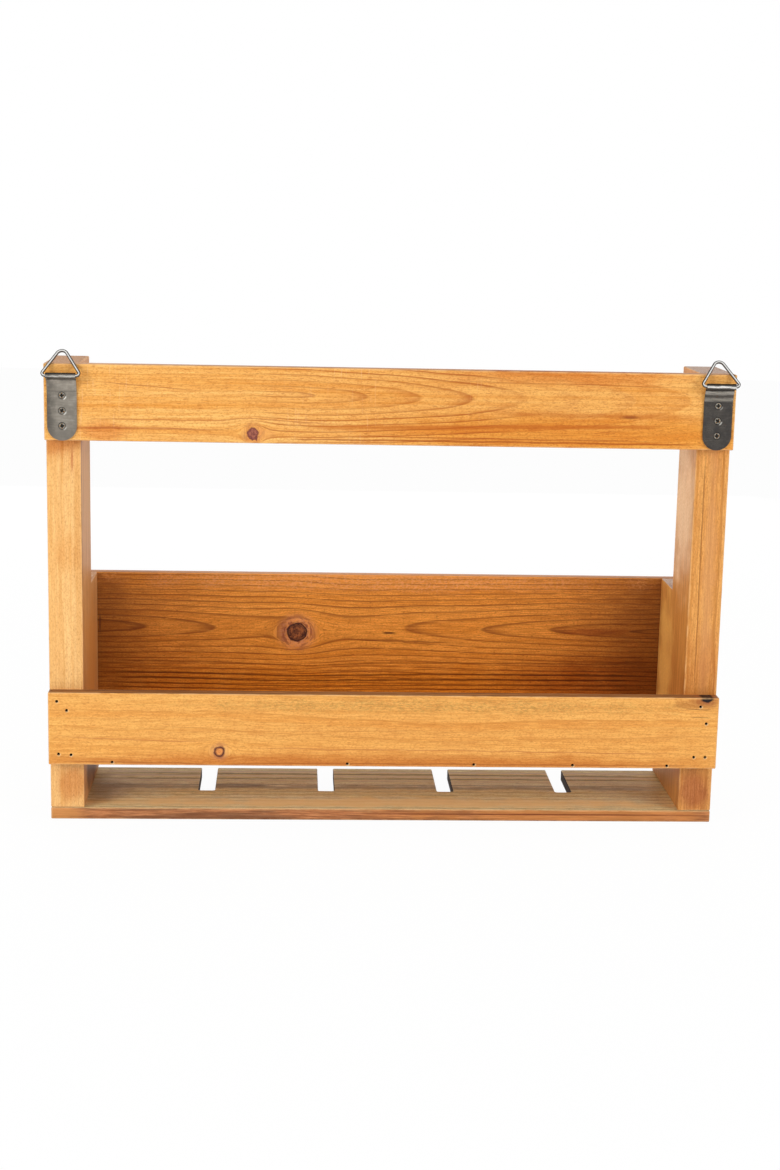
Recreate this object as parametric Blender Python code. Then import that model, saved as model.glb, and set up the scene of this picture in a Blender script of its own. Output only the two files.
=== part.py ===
"""Wall-mounted wine rack with a slotted shelf for stem glasses.

Metres, +Z up, front towards -Y, the wall side towards +Y, left and right as seen from the front.
The origin is the bottom centre of the whole object: the slotted shelf's underside lies at z = 0.
"""

from math import asin, atan2, cos, pi, radians, sin, sqrt, tan

import bmesh
import bpy
from mathutils import Matrix, Vector

# Fits
CLEARANCE = 0.0003           # between pieces that touch or pass through each other

# Boards
RACK_WIDTH = 0.508
RACK_HEIGHT = 0.348
SIDE_THICKNESS = 0.0254
POST_DEPTH = 0.063           # the sides above the front board
SIDE_DEPTH = 0.109           # the sides from the front board down
RAIL_HEIGHT = 0.056
RAIL_THICKNESS = 0.011
LOWER_RAIL_BOTTOM = 0.0463
FRONT_BOARD_TOP = 0.1718
FRONT_BOARD_THICKNESS = 0.009
BOTTLE_SHELF_BOTTOM = 0.044
BOTTLE_SHELF_THICKNESS = 0.009
GLASS_SHELF_THICKNESS = 0.009
EDGE_EASE = 0.0008           # sanded arris on every board
EASE_SEGMENTS = 2

# Stem slots
SLOT_COUNT = 4
SLOT_WIDTH = 0.013
SLOT_DEPTH = 0.062
SLOT_PITCH = 0.0945
SLOT_PATTERN_SHIFT = -0.004  # the row of slots sits a little off centre
SLOT_CORNER_RADIUS = 0.002

# Strap hangers
STRAP_WIDTH = 0.0215
STRAP_THICKNESS = 0.0008
STRAP_END_INSET = 0.0132     # strap's centre line to the rail's end
LOOP_DROP = 0.0082           # loop's axis below the rail's top
LOOP_STANDOFF = 0.0080       # loop's axis behind the rail's back face
CREASE_DROP = 0.0115         # crease of the neck below the loop's axis
CREASE_TO_SCREW = 0.0033
CURL_SWEEP = radians(275)

# Triangle rings
RING_WIRE = 0.0025
RING_APEX_RADIUS = 0.0040
RING_FOOT_RADIUS = 0.0022

# Strap screws
SCREWS_PER_STRAP = 3
SCREW_LENGTH = 0.016
SCREW_SHANK = 0.0025
SCREW_HEAD = 0.0048
SCREW_HEAD_HEIGHT = 0.0010
SCREW_TIP = 0.003
RECESS_LENGTH = 0.0026
RECESS_WIDTH = 0.0007
RECESS_DEPTH = 0.0006

# Brads
BRAD_LENGTH = 0.028
BRAD_SHANK = 0.0012
BRAD_HEAD = 0.0018
BRAD_HEAD_HEIGHT = 0.0008
BRAD_TIP = 0.0016
BRAD_SET = 0.0010            # head sunk below the wood

# Where the lower rail's corner brads sit: inset from the rail's end, inset from its nearer long edge
LOWER_RAIL_RIGHT_TOP = ((0.0067, 0.0068), (0.0139, 0.0137))
LOWER_RAIL_RIGHT_BOTTOM = ((0.0076, 0.0083), (0.0169, 0.0077))
LOWER_RAIL_LEFT_TOP = ((0.0141, 0.0070), (0.0092, 0.0203))
LOWER_RAIL_LEFT_BOTTOM = ((0.0175, 0.0092), (0.0088, 0.0092))
# Along the bottle shelf, from its right end to its left, as shares of its length
LOWER_ROW_SHARES = (0.048, 0.437, 0.648, 0.814, 0.973)
FRONT_ROW_SHARES = (0.125, 0.375, 0.625, 0.875)
FRONT_END_ROWS = 3
TOP_RAIL_BRAD_SPREAD = 0.0065  # to each side of the strap's centre line
SHELF_END_BRADS = 3
END_BRAD_MARGIN = 0.016

# Roundness
BRAD_FACES = 8
SCREW_FACES = 16
LOOP_STEPS = 22
STRAP_END_STEPS = 18
RING_APEX_STEPS = 9
RING_FOOT_STEPS = 6
RING_WIRE_ROUNDNESS = 3
SLOT_CORNER_STEPS = 4
CUT_MARGIN = 0.004           # how far a cutter runs past the face it cuts
WELD = 1e-6                  # corners closer than this are one
SHARP = radians(40)          # edges that turn more than this stay crisp

# Finishes: colour, roughness, metallic
TOP_RAIL_WOOD = ((0.60, 0.27, 0.075), 0.50, 0.0)
LOWER_RAIL_WOOD = ((0.67, 0.35, 0.11), 0.50, 0.0)
FRONT_BOARD_WOOD = ((0.40, 0.16, 0.05), 0.50, 0.0)
SIDE_WOOD = ((0.62, 0.32, 0.10), 0.50, 0.0)
BOTTLE_SHELF_WOOD = ((0.45, 0.22, 0.08), 0.55, 0.0)
GLASS_SHELF_WOOD = ((0.22, 0.13, 0.075), 0.60, 0.0)
DARK_STRAP_STEEL = ((0.075, 0.075, 0.080), 0.42, 1.0)
GREY_STRAP_STEEL = ((0.24, 0.235, 0.225), 0.45, 1.0)
PLATED_STEEL = ((0.66, 0.66, 0.64), 0.22, 1.0)
SCREW_ZINC = ((0.42, 0.41, 0.38), 0.35, 1.0)
BRAD_STEEL = ((0.16, 0.14, 0.12), 0.50, 1.0)

# Places that follow from the sizes
LOOP_BORE_RADIUS = RING_WIRE / 2 + CLEARANCE
LOOP_RADIUS = LOOP_BORE_RADIUS + STRAP_THICKNESS / 2
LOOP_REACH = LOOP_STANDOFF + LOOP_RADIUS + STRAP_THICKNESS / 2
RING_SIDE = STRAP_WIDTH + 2 * CLEARANCE + 2 * sqrt(3) * RING_FOOT_RADIUS
FRONT_REACH = SIDE_DEPTH + CLEARANCE + FRONT_BOARD_THICKNESS
BACK_REACH = CLEARANCE + RAIL_THICKNESS + LOOP_REACH
SIDE_BACK_Y = (FRONT_REACH - BACK_REACH) / 2
SIDE_FRONT_Y = SIDE_BACK_Y - SIDE_DEPTH
RAIL_FRONT_Y = SIDE_BACK_Y + CLEARANCE
RAIL_BACK_Y = RAIL_FRONT_Y + RAIL_THICKNESS
FRONT_BOARD_BACK_Y = SIDE_FRONT_Y - CLEARANCE
FRONT_BOARD_FRONT_Y = FRONT_BOARD_BACK_Y - FRONT_BOARD_THICKNESS
SIDE_BOTTOM = GLASS_SHELF_THICKNESS + CLEARANCE
TOP_RAIL_BOTTOM = RACK_HEIGHT - RAIL_HEIGHT
LOWER_RAIL_TOP = LOWER_RAIL_BOTTOM + RAIL_HEIGHT
BOTTLE_SHELF_LENGTH = RACK_WIDTH - 2 * (SIDE_THICKNESS + CLEARANCE)
BOTTLE_SHELF_MIDDLE = BOTTLE_SHELF_BOTTOM + BOTTLE_SHELF_THICKNESS / 2
SIDE_CENTRE_X = (RACK_WIDTH - SIDE_THICKNESS) / 2
STRAP_X = RACK_WIDTH / 2 - STRAP_END_INSET
LOOP_Y = RAIL_BACK_Y + LOOP_STANDOFF
LOOP_Z = RACK_HEIGHT - LOOP_DROP
STRAP_BACK_Y = RAIL_BACK_Y + CLEARANCE
STRAP_FACE_Y = STRAP_BACK_Y + STRAP_THICKNESS
CREASE_Z = LOOP_Z - CREASE_DROP
STRAP_END_Z = TOP_RAIL_BOTTOM
TOP_SCREW_Z = CREASE_Z - CREASE_TO_SCREW
LOW_SCREW_Z = STRAP_END_Z + STRAP_WIDTH / 2
SCREW_PITCH = (TOP_SCREW_Z - LOW_SCREW_Z) / (SCREWS_PER_STRAP - 1)


def ring_lean():
    """Angle past upright at which the ring's wire lies on the rail's rounded top edge."""
    across = LOOP_STANDOFF + EDGE_EASE
    up = LOOP_DROP - EDGE_EASE
    apart = RING_WIRE / 2 + CLEARANCE + EDGE_EASE
    return atan2(across, up) - asin(apart / sqrt(across ** 2 + up ** 2))


# Scene, materials and objects

def clear_scene():
    """Remove the objects that a new file starts with."""
    for thing in list(bpy.data.objects):
        bpy.data.objects.remove(thing, do_unlink=True)


def material(name, finish):
    """One plain surface for one piece."""
    colour, roughness, metallic = finish
    made = bpy.data.materials.new(name)
    made.use_nodes = True
    shader = made.node_tree.nodes["Principled BSDF"]
    shader.inputs["Base Color"].default_value = (*colour, 1.0)
    shader.inputs["Roughness"].default_value = roughness
    shader.inputs["Metallic"].default_value = metallic
    return made


def add_object(name, data, surface=None):
    """Link a mesh or a curve to the scene as a named object."""
    thing = bpy.data.objects.new(name, data)
    bpy.context.scene.collection.objects.link(thing)
    if surface is not None:
        data.materials.clear()
        data.materials.append(surface)
    return thing


def mesh_from(shape, name, smooth=False):
    """Turn an edited shape into a mesh whose faces point outwards."""
    bmesh.ops.recalc_face_normals(shape, faces=shape.faces)
    mesh = bpy.data.meshes.new(name)
    shape.to_mesh(mesh)
    shape.free()
    if smooth:
        mesh.shade_smooth()
        mesh.set_sharp_from_angle(angle=SHARP)
    return mesh


# Basic forms

def prism(name, outline, height, frame):
    """Extrude a closed outline in the frame's XY plane along the frame's Z."""
    shape = bmesh.new()
    corners = [shape.verts.new((x, y, 0.0)) for x, y in outline]
    face = shape.faces.new(corners)
    grown = bmesh.ops.extrude_face_region(shape, geom=[face])
    moved = [item for item in grown["geom"] if isinstance(item, bmesh.types.BMVert)]
    bmesh.ops.translate(shape, verts=moved, vec=(0.0, 0.0, height))
    bmesh.ops.transform(shape, matrix=frame, verts=shape.verts)
    return mesh_from(shape, name)


def spin_profile(shape, profile, faces, frame):
    """Turn a profile of (radius, height) points, which starts and ends on the axis, about Z."""
    points = [shape.verts.new((radius, 0.0, height)) for radius, height in profile]
    edges = [shape.edges.new(pair) for pair in zip(points, points[1:])]
    bmesh.ops.spin(
        shape, geom=points + edges, cent=(0, 0, 0), axis=(0, 0, 1),
        angle=2 * pi, steps=faces, use_merge=True,
    )
    bmesh.ops.remove_doubles(shape, verts=shape.verts, dist=WELD)
    bmesh.ops.transform(shape, matrix=frame, verts=shape.verts)


def turned(name, profile, faces):
    """A turned piece on its own Z axis."""
    shape = bmesh.new()
    spin_profile(shape, profile, faces, Matrix.Identity(4))
    return mesh_from(shape, name, smooth=True)


def arc(centre, radius, start, sweep, steps):
    """Points along an arc, both ends included."""
    angles = [start + sweep * step / steps for step in range(steps + 1)]
    return [(centre[0] + radius * cos(a), centre[1] + radius * sin(a)) for a in angles]


def add_ease(thing):
    """Round a board's edges as sanding does."""
    ease = thing.modifiers.new("eased_edges", "BEVEL")
    ease.width = EDGE_EASE
    ease.segments = EASE_SEGMENTS
    ease.limit_method = "ANGLE"
    ease.angle_limit = SHARP


def cut(thing, cutter, operation="DIFFERENCE"):
    """Cut one object with another, which stays in the file as a guide."""
    cutter.hide_render = True
    cutter.display_type = "WIRE"
    boolean = thing.modifiers.new(cutter.name, "BOOLEAN")
    boolean.operation = operation
    boolean.solver = "EXACT"
    boolean.object = cutter


# Fasteners and their holes

class Fastener:
    """A brad or a screw: where its head's outer face lies and which way that face looks."""

    def __init__(self, name, place, outward):
        self.name = name
        self.place = Vector(place)
        self.outward = Vector(outward)

    def frame(self):
        """Own frame: Z out of the wood, origin on the head's outer face."""
        turn = self.outward.to_track_quat("Z", "Y").to_matrix().to_4x4()
        return Matrix.Translation(self.place) @ turn


def brad_profile():
    """Pointed shank and small round head."""
    return (
        (0.0, -BRAD_LENGTH), (BRAD_SHANK / 2, BRAD_TIP - BRAD_LENGTH),
        (BRAD_SHANK / 2, -BRAD_HEAD_HEIGHT), (BRAD_HEAD / 2, -BRAD_HEAD_HEIGHT),
        (BRAD_HEAD / 2, 0.0), (0.0, 0.0),
    )


def brad_hole_profile():
    """Bore for the shank, pocket for the sunk head, open to the outside."""
    bore = BRAD_SHANK / 2 + CLEARANCE
    pocket = BRAD_HEAD / 2 + CLEARANCE
    floor = -BRAD_HEAD_HEIGHT - CLEARANCE
    end = -BRAD_LENGTH - CLEARANCE
    return (
        (0.0, end), (bore, end), (bore, floor), (pocket, floor),
        (pocket, CUT_MARGIN), (0.0, CUT_MARGIN),
    )


def screw_profile():
    """Countersunk head on a pointed shank."""
    return (
        (0.0, -SCREW_LENGTH), (SCREW_SHANK / 2, SCREW_TIP - SCREW_LENGTH),
        (SCREW_SHANK / 2, -SCREW_HEAD_HEIGHT), (SCREW_HEAD / 2, 0.0), (0.0, 0.0),
    )


def screw_hole_profile():
    """Bore in the wood for the screw's shank."""
    bore = SCREW_SHANK / 2 + CLEARANCE
    end = -SCREW_LENGTH - CLEARANCE
    top = STRAP_BACK_Y - STRAP_FACE_Y
    return ((0.0, end), (bore, end), (bore, top), (0.0, top))


def countersink_profile():
    """Cone in the strap, parallel to the screw head's own cone."""
    slope = (SCREW_HEAD - SCREW_SHANK) / 2 / SCREW_HEAD_HEIGHT
    widening = CLEARANCE * sqrt(1 + slope ** 2)
    below = -STRAP_THICKNESS - CLEARANCE / 2
    above = CLEARANCE
    head = SCREW_HEAD / 2 + widening
    return (
        (0.0, below), (head + slope * below, below),
        (head + slope * above, above), (0.0, above),
    )


def hole_cutter(name, holes):
    """One guide object for several holes, each a fastener, its hole's profile and its roundness."""
    shape = bmesh.new()
    for fastener, profile, faces in holes:
        single = bmesh.new()
        spin_profile(single, profile, faces, fastener.frame())
        bmesh.ops.recalc_face_normals(single, faces=single.faces)
        piece = bpy.data.meshes.new(name)
        single.to_mesh(piece)
        single.free()
        shape.from_mesh(piece)
        bpy.data.meshes.remove(piece)
    return add_object(name, mesh_from(shape, name))


def brad_row(prefix, spots, outward):
    """Brads at the given spots on a board's outer face, each sunk by the set depth."""
    sunk = Vector(outward) * -BRAD_SET
    return [
        Fastener(f"{prefix}_{number}", Vector(spot) + sunk, outward)
        for number, spot in enumerate(spots, start=1)
    ]


def lower_rail_brads():
    """Eight brads near the corners and five along the lower edge into the bottle shelf."""
    spots = []
    corners = (
        (1, LOWER_RAIL_RIGHT_TOP, LOWER_RAIL_TOP, -1),
        (1, LOWER_RAIL_RIGHT_BOTTOM, LOWER_RAIL_BOTTOM, 1),
        (-1, LOWER_RAIL_LEFT_TOP, LOWER_RAIL_TOP, -1),
        (-1, LOWER_RAIL_LEFT_BOTTOM, LOWER_RAIL_BOTTOM, 1),
    )
    for end, insets, edge, inwards in corners:
        for from_end, from_edge in insets:
            x = end * (RACK_WIDTH / 2 - from_end)
            spots.append((x, RAIL_BACK_Y, edge + inwards * from_edge))
    for share in LOWER_ROW_SHARES:
        spots.append(((0.5 - share) * BOTTLE_SHELF_LENGTH, RAIL_BACK_Y, BOTTLE_SHELF_MIDDLE))
    return brad_row("lower_rail_brad", spots, (0, 1, 0))


def top_rail_brads():
    """Two brads at each end, under the strap, between its screws."""
    spots = []
    for end in (-1, 1):
        for side, drop in ((-1, 0.5), (1, 1.5)):
            x = end * STRAP_X + side * TOP_RAIL_BRAD_SPREAD
            spots.append((x, RAIL_BACK_Y, TOP_SCREW_Z - drop * SCREW_PITCH))
    return brad_row("top_rail_brad", spots, (0, 1, 0))


def front_board_brads():
    """Three brads up each end into the sides and four into the bottle shelf."""
    low = BOTTLE_SHELF_MIDDLE + END_BRAD_MARGIN
    high = FRONT_BOARD_TOP - END_BRAD_MARGIN
    step = (high - low) / (FRONT_END_ROWS - 1)
    spots = [
        (end * SIDE_CENTRE_X, FRONT_BOARD_FRONT_Y, low + row * step)
        for end in (-1, 1) for row in range(FRONT_END_ROWS)
    ]
    for share in FRONT_ROW_SHARES:
        spots.append(((share - 0.5) * BOTTLE_SHELF_LENGTH, FRONT_BOARD_FRONT_Y, BOTTLE_SHELF_MIDDLE))
    return brad_row("front_board_brad", spots, (0, -1, 0))


def glass_shelf_brads():
    """Three brads at each end, from below into the sides."""
    step = (SIDE_DEPTH - 2 * END_BRAD_MARGIN) / (SHELF_END_BRADS - 1)
    spots = [
        (end * SIDE_CENTRE_X, SIDE_FRONT_Y + END_BRAD_MARGIN + row * step, 0.0)
        for end in (-1, 1) for row in range(SHELF_END_BRADS)
    ]
    return brad_row("glass_shelf_brad", spots, (0, 0, -1))


def strap_screws(side, end):
    """Three screws down the strap's centre line, heads flush with its face."""
    return [
        Fastener(f"{side}_strap_screw_{number + 1}",
                 (end * STRAP_X, STRAP_FACE_Y, TOP_SCREW_Z - number * SCREW_PITCH), (0, 1, 0))
        for number in range(SCREWS_PER_STRAP)
    ]


def drill(board, label, brads, screws=()):
    """Cut the holes of the fasteners that enter a board, all at once."""
    holes = [(brad, brad_hole_profile(), BRAD_FACES) for brad in brads]
    holes += [(screw, screw_hole_profile(), SCREW_FACES) for screw in screws]
    cut(board, hole_cutter(f"{label}_holes", holes))


# Boards

def box_outline(width, depth):
    """Rectangle centred on the frame's Z axis."""
    x, y = width / 2, depth / 2
    return ((-x, -y), (x, -y), (x, y), (-x, y))


def plank(name, centre, size, surface):
    """A plain board with eased edges."""
    frame = Matrix.Translation((0.0, 0.0, -size[2] / 2))
    board = add_object(name, prism(name, box_outline(size[0], size[1]), size[2], frame), surface)
    board.location = centre
    add_ease(board)
    return board


def side_view(width):
    """Frame that lays an outline of (Y, Z) points across X, centred on the frame's origin."""
    return Matrix(((0, 0, 1, -width / 2), (1, 0, 0, 0), (0, 1, 0, 0), (0, 0, 0, 1)))


def side_board(name, end, surface):
    """Stepped side: full depth up to the front board's top, shallow post above."""
    outline = (
        (0.0, SIDE_BOTTOM), (-SIDE_DEPTH, SIDE_BOTTOM), (-SIDE_DEPTH, FRONT_BOARD_TOP),
        (-POST_DEPTH, FRONT_BOARD_TOP), (-POST_DEPTH, RACK_HEIGHT), (0.0, RACK_HEIGHT),
    )
    board = add_object(name, prism(name, outline, SIDE_THICKNESS, side_view(SIDE_THICKNESS)), surface)
    board.location = (end * SIDE_CENTRE_X, SIDE_BACK_Y, 0.0)
    add_ease(board)
    return board


def glass_shelf_outline():
    """Shelf seen from above, with stem slots that open through its front edge."""
    half = RACK_WIDTH / 2
    points = [(half, SIDE_BACK_Y), (-half, SIDE_BACK_Y), (-half, SIDE_FRONT_Y)]
    round_by = SLOT_CORNER_RADIUS
    corner_y = SIDE_FRONT_Y + SLOT_DEPTH - round_by
    for number in range(SLOT_COUNT):
        middle = SLOT_PATTERN_SHIFT + (number - (SLOT_COUNT - 1) / 2) * SLOT_PITCH
        left = middle - SLOT_WIDTH / 2
        right = middle + SLOT_WIDTH / 2
        points.append((left, SIDE_FRONT_Y))
        points += arc((left + round_by, corner_y), round_by, pi, -pi / 2, SLOT_CORNER_STEPS)
        points += arc((right - round_by, corner_y), round_by, pi / 2, -pi / 2, SLOT_CORNER_STEPS)
        points.append((right, SIDE_FRONT_Y))
    points.append((half, SIDE_FRONT_Y))
    return points


def build_boards():
    """All the woodwork, drilled for its brads and screws."""
    lower_brads = lower_rail_brads()
    top_brads = top_rail_brads()
    front_brads = front_board_brads()
    shelf_brads = glass_shelf_brads()
    screws = {-1: strap_screws("left", -1), 1: strap_screws("right", 1)}

    rail_y = (RAIL_FRONT_Y + RAIL_BACK_Y) / 2
    rail_size = (RACK_WIDTH, RAIL_THICKNESS, RAIL_HEIGHT)
    top_rail = plank(
        "top_back_rail", (0, rail_y, TOP_RAIL_BOTTOM + RAIL_HEIGHT / 2), rail_size,
        material("top_rail_wood", TOP_RAIL_WOOD))
    drill(top_rail, "top_rail", top_brads, screws[-1] + screws[1])

    lower_rail = plank(
        "lower_back_rail", (0, rail_y, LOWER_RAIL_BOTTOM + RAIL_HEIGHT / 2), rail_size,
        material("lower_rail_wood", LOWER_RAIL_WOOD))
    drill(lower_rail, "lower_rail", lower_brads)

    front_height = FRONT_BOARD_TOP - BOTTLE_SHELF_BOTTOM
    front = plank(
        "front_board",
        (0, (FRONT_BOARD_BACK_Y + FRONT_BOARD_FRONT_Y) / 2, BOTTLE_SHELF_BOTTOM + front_height / 2),
        (RACK_WIDTH, FRONT_BOARD_THICKNESS, front_height),
        material("front_board_wood", FRONT_BOARD_WOOD))
    drill(front, "front_board", front_brads)

    bottle_shelf = plank(
        "bottle_shelf", (0, (SIDE_BACK_Y + SIDE_FRONT_Y) / 2, BOTTLE_SHELF_MIDDLE),
        (BOTTLE_SHELF_LENGTH, SIDE_DEPTH, BOTTLE_SHELF_THICKNESS),
        material("bottle_shelf_wood", BOTTLE_SHELF_WOOD))
    shelf_row = [
        brad for brad in lower_brads + front_brads
        if abs(brad.place.z - BOTTLE_SHELF_MIDDLE) < CLEARANCE
    ]
    drill(bottle_shelf, "bottle_shelf", shelf_row)

    glass_shelf = add_object(
        "glass_shelf",
        prism("glass_shelf", glass_shelf_outline(), GLASS_SHELF_THICKNESS, Matrix.Identity(4)),
        material("glass_shelf_wood", GLASS_SHELF_WOOD))
    add_ease(glass_shelf)
    drill(glass_shelf, "glass_shelf", shelf_brads)

    for end, name in ((-1, "left"), (1, "right")):
        surface = material(f"{name}_side_wood", SIDE_WOOD)
        board = side_board(f"{name}_side_board", end, surface)
        near = [
            brad for brad in lower_brads + top_brads + front_brads + shelf_brads
            if abs(brad.place.x - end * SIDE_CENTRE_X) < SIDE_THICKNESS / 2
        ]
        drill(board, f"{name}_side", near, screws[end])
    return lower_brads + top_brads + front_brads + shelf_brads, screws


# Steel

def strap_section():
    """Side view of the strap, (out from the loop's axis, up from it): plate, kicked neck and curl."""
    plate = (STRAP_BACK_Y + STRAP_FACE_Y) / 2 - LOOP_Y
    reach = sqrt(plate ** 2 + CREASE_DROP ** 2)
    kick = atan2(-plate, CREASE_DROP) - asin(LOOP_RADIUS / reach)
    half = STRAP_THICKNESS / 2
    fold = half * tan(kick / 2)
    end = STRAP_END_Z - LOOP_Z
    start = pi - kick
    face = [(plate + half, end), (plate + half, -CREASE_DROP - fold)]
    bore = arc((0.0, 0.0), LOOP_RADIUS - half, start, -CURL_SWEEP, LOOP_STEPS)
    roll = arc((0.0, 0.0), LOOP_RADIUS + half, start, -CURL_SWEEP, LOOP_STEPS)
    back = [(plate - half, fold - CREASE_DROP), (plate - half, end)]
    return face + bore + roll[::-1] + back


def strap_outline(middle):
    """Strap seen from the wall: round lower end as wide as the strap, all else left whole."""
    radius = STRAP_WIDTH / 2
    outside = radius + CUT_MARGIN
    shoulder = STRAP_END_Z + radius
    top = LOOP_Z + LOOP_REACH
    lower_end = arc((middle, shoulder), radius, pi, pi, STRAP_END_STEPS)
    upper_end = [
        (middle + outside, shoulder), (middle + outside, top),
        (middle - outside, top), (middle - outside, shoulder),
    ]
    return lower_end + upper_end


def hanger_strap(name, end, screws, surface):
    """Bent sheet steel: the section drawn across the width, then its end rounded and its holes sunk."""
    strap = add_object(name, prism(name, strap_section(), STRAP_WIDTH, side_view(STRAP_WIDTH)), surface)
    strap.location = (end * STRAP_X, LOOP_Y, LOOP_Z)
    depth = 2 * LOOP_REACH
    facing = Matrix(((1, 0, 0, 0), (0, 0, -1, LOOP_Y + LOOP_REACH), (0, 1, 0, 0), (0, 0, 0, 1)))
    guide_mesh = prism(f"{name}_outline", strap_outline(end * STRAP_X), depth, facing)
    cut(strap, add_object(f"{name}_outline", guide_mesh), "INTERSECT")
    holes = [(screw, countersink_profile(), SCREW_FACES) for screw in screws]
    cut(strap, hole_cutter(f"{name}_holes", holes))
    return strap


def ring_path():
    """Centre line of the triangle ring, foot wire along X through the origin, apex up."""
    foot = RING_FOOT_RADIUS
    across = RING_SIDE / 2 - foot * sqrt(3)
    peak = RING_SIDE * sqrt(3) / 2 - 2 * RING_APEX_RADIUS
    corner = -2 * pi / 3
    left = arc((-across, foot), foot, -pi / 2, corner, RING_FOOT_STEPS)
    apex = arc((0.0, peak), RING_APEX_RADIUS, 5 * pi / 6, corner, RING_APEX_STEPS)
    right = arc((across, foot), foot, pi / 6, corner, RING_FOOT_STEPS)
    return left + apex + right


def hanger_ring(name, end, surface):
    """Closed triangle of round wire that swings about its foot wire."""
    path = ring_path()
    curve = bpy.data.curves.new(name, "CURVE")
    curve.dimensions = "3D"
    curve.bevel_depth = RING_WIRE / 2
    curve.bevel_resolution = RING_WIRE_ROUNDNESS
    spline = curve.splines.new("POLY")
    spline.points.add(len(path) - 1)
    for point, (x, z) in zip(spline.points, path):
        point.co = (x, 0.0, z, 1.0)
    spline.use_cyclic_u = True
    ring = add_object(name, curve, surface)
    ring.location = (end * STRAP_X, LOOP_Y, LOOP_Z)
    ring.rotation_euler = (ring_lean(), 0.0, 0.0)
    return ring


def screw_mesh():
    """Countersunk screw blank."""
    return turned("strap_screw", screw_profile(), SCREW_FACES)


def recess_cutter(name, frame):
    """Cross recess for the driver, one plus-shaped prism."""
    long = RECESS_LENGTH / 2
    thin = RECESS_WIDTH / 2
    quarter = ((long, -thin), (long, thin), (thin, thin))
    outline = []
    for turn in range(4):
        c = round(cos(turn * pi / 2))
        s = round(sin(turn * pi / 2))
        outline += [(c * x - s * y, s * x + c * y) for x, y in quarter]
    deep = Matrix.Translation((0.0, 0.0, -RECESS_DEPTH))
    return add_object(name, prism(name, outline, RECESS_DEPTH + CUT_MARGIN, frame @ deep))


def place_screw(fastener, mesh, surface):
    """One screw in its countersink, with its cross recess."""
    screw = add_object(fastener.name, mesh.copy(), surface)
    screw.matrix_world = fastener.frame()
    cut(screw, recess_cutter(f"{fastener.name}_recess", fastener.frame()))


def place_brad(fastener, mesh):
    """One brad, head sunk in its pocket."""
    brad = add_object(fastener.name, mesh)
    brad.matrix_world = fastener.frame()


def build_steel(brads, screws):
    """Straps, rings, screws and brads."""
    strap_steel = {
        -1: material("left_strap_steel", DARK_STRAP_STEEL),
        1: material("right_strap_steel", GREY_STRAP_STEEL),
    }
    ring_steel = material("ring_plated_steel", PLATED_STEEL)
    screw_steel = material("screw_zinc", SCREW_ZINC)
    brad_steel = material("brad_steel", BRAD_STEEL)
    blank = screw_mesh()
    for end, name in ((-1, "left"), (1, "right")):
        hanger_strap(f"{name}_hanger_strap", end, screws[end], strap_steel[end])
        hanger_ring(f"{name}_hanger_ring", end, ring_steel)
        for fastener in screws[end]:
            place_screw(fastener, blank, screw_steel)
    bpy.data.meshes.remove(blank)
    brad_mesh = turned("brad", brad_profile(), BRAD_FACES)
    brad_mesh.materials.append(brad_steel)
    for fastener in brads:
        place_brad(fastener, brad_mesh)


def main():
    clear_scene()
    brads, screws = build_boards()
    build_steel(brads, screws)


main()
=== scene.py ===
"""Looks of a wall-mounted wine rack: stained softwood boards, bent strap hangers, triangle rings.

Everything is in metres in the row frame: +Z up, the wall side towards +Y, +X to the right as seen
from the front. Wood patterns work in millimetres along the grain, across it and through the board.
"""

import logging
import math
from dataclasses import dataclass
from enum import Enum
from functools import cache
from typing import Callable, Optional, Sequence, Union

import bmesh
import bpy
from bpy.types import ID, Material, Mesh, Node, NodeSocket, NodeTree, Object
from mathutils import Matrix, Vector


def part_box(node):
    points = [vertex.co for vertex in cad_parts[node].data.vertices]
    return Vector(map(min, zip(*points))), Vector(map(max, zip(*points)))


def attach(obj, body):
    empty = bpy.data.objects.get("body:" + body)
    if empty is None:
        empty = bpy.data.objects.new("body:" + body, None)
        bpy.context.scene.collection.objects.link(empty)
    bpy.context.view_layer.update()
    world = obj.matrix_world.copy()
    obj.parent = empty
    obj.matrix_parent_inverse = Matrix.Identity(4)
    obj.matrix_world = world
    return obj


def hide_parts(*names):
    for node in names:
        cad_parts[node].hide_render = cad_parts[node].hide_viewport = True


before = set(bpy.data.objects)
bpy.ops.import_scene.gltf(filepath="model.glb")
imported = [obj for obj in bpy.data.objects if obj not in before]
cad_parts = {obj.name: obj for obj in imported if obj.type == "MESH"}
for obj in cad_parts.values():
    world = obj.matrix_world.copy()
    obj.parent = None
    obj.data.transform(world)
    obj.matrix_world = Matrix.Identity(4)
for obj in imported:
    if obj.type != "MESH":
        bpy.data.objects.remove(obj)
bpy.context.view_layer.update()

LOG = logging.getLogger("wine_rack")
MM = 0.001
# Points of a mesh that lie nearer than this are one
WELD = 1e-7
# How far the highest bump stands out
WOOD_RELIEF = 0.15 * MM
STEEL_RELIEF = 0.05 * MM
# How straight a face has to look along an axis to count as facing that way, and to count in full
FACING = (0.55, 0.85)
# The two ends of a mask that goes from full to none
FADE_OUT = (1.0, 0.0)
# How round the rings' arches are where the pith comes near the face, in millimetres
BLUNT_ARCH = 18.0
# Start of the draws that turn the screws' heads
TURN_SEED = 5
ORIGIN = (0.0, 0.0, 0.0)
WHITE = (1.0, 1.0, 1.0)
TO_WALL = Vector((0, 1, 0))
BRAD_WAYS = {
    "lower_rail_brad": (0, 1, 0), "top_rail_brad": (0, 1, 0),
    "front_board_brad": (0, -1, 0), "glass_shelf_brad": (0, 0, -1),
}

Colour = tuple[float, float, float]
Value = Union["Wire", Material, str, float, int, Sequence[float]]


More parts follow.
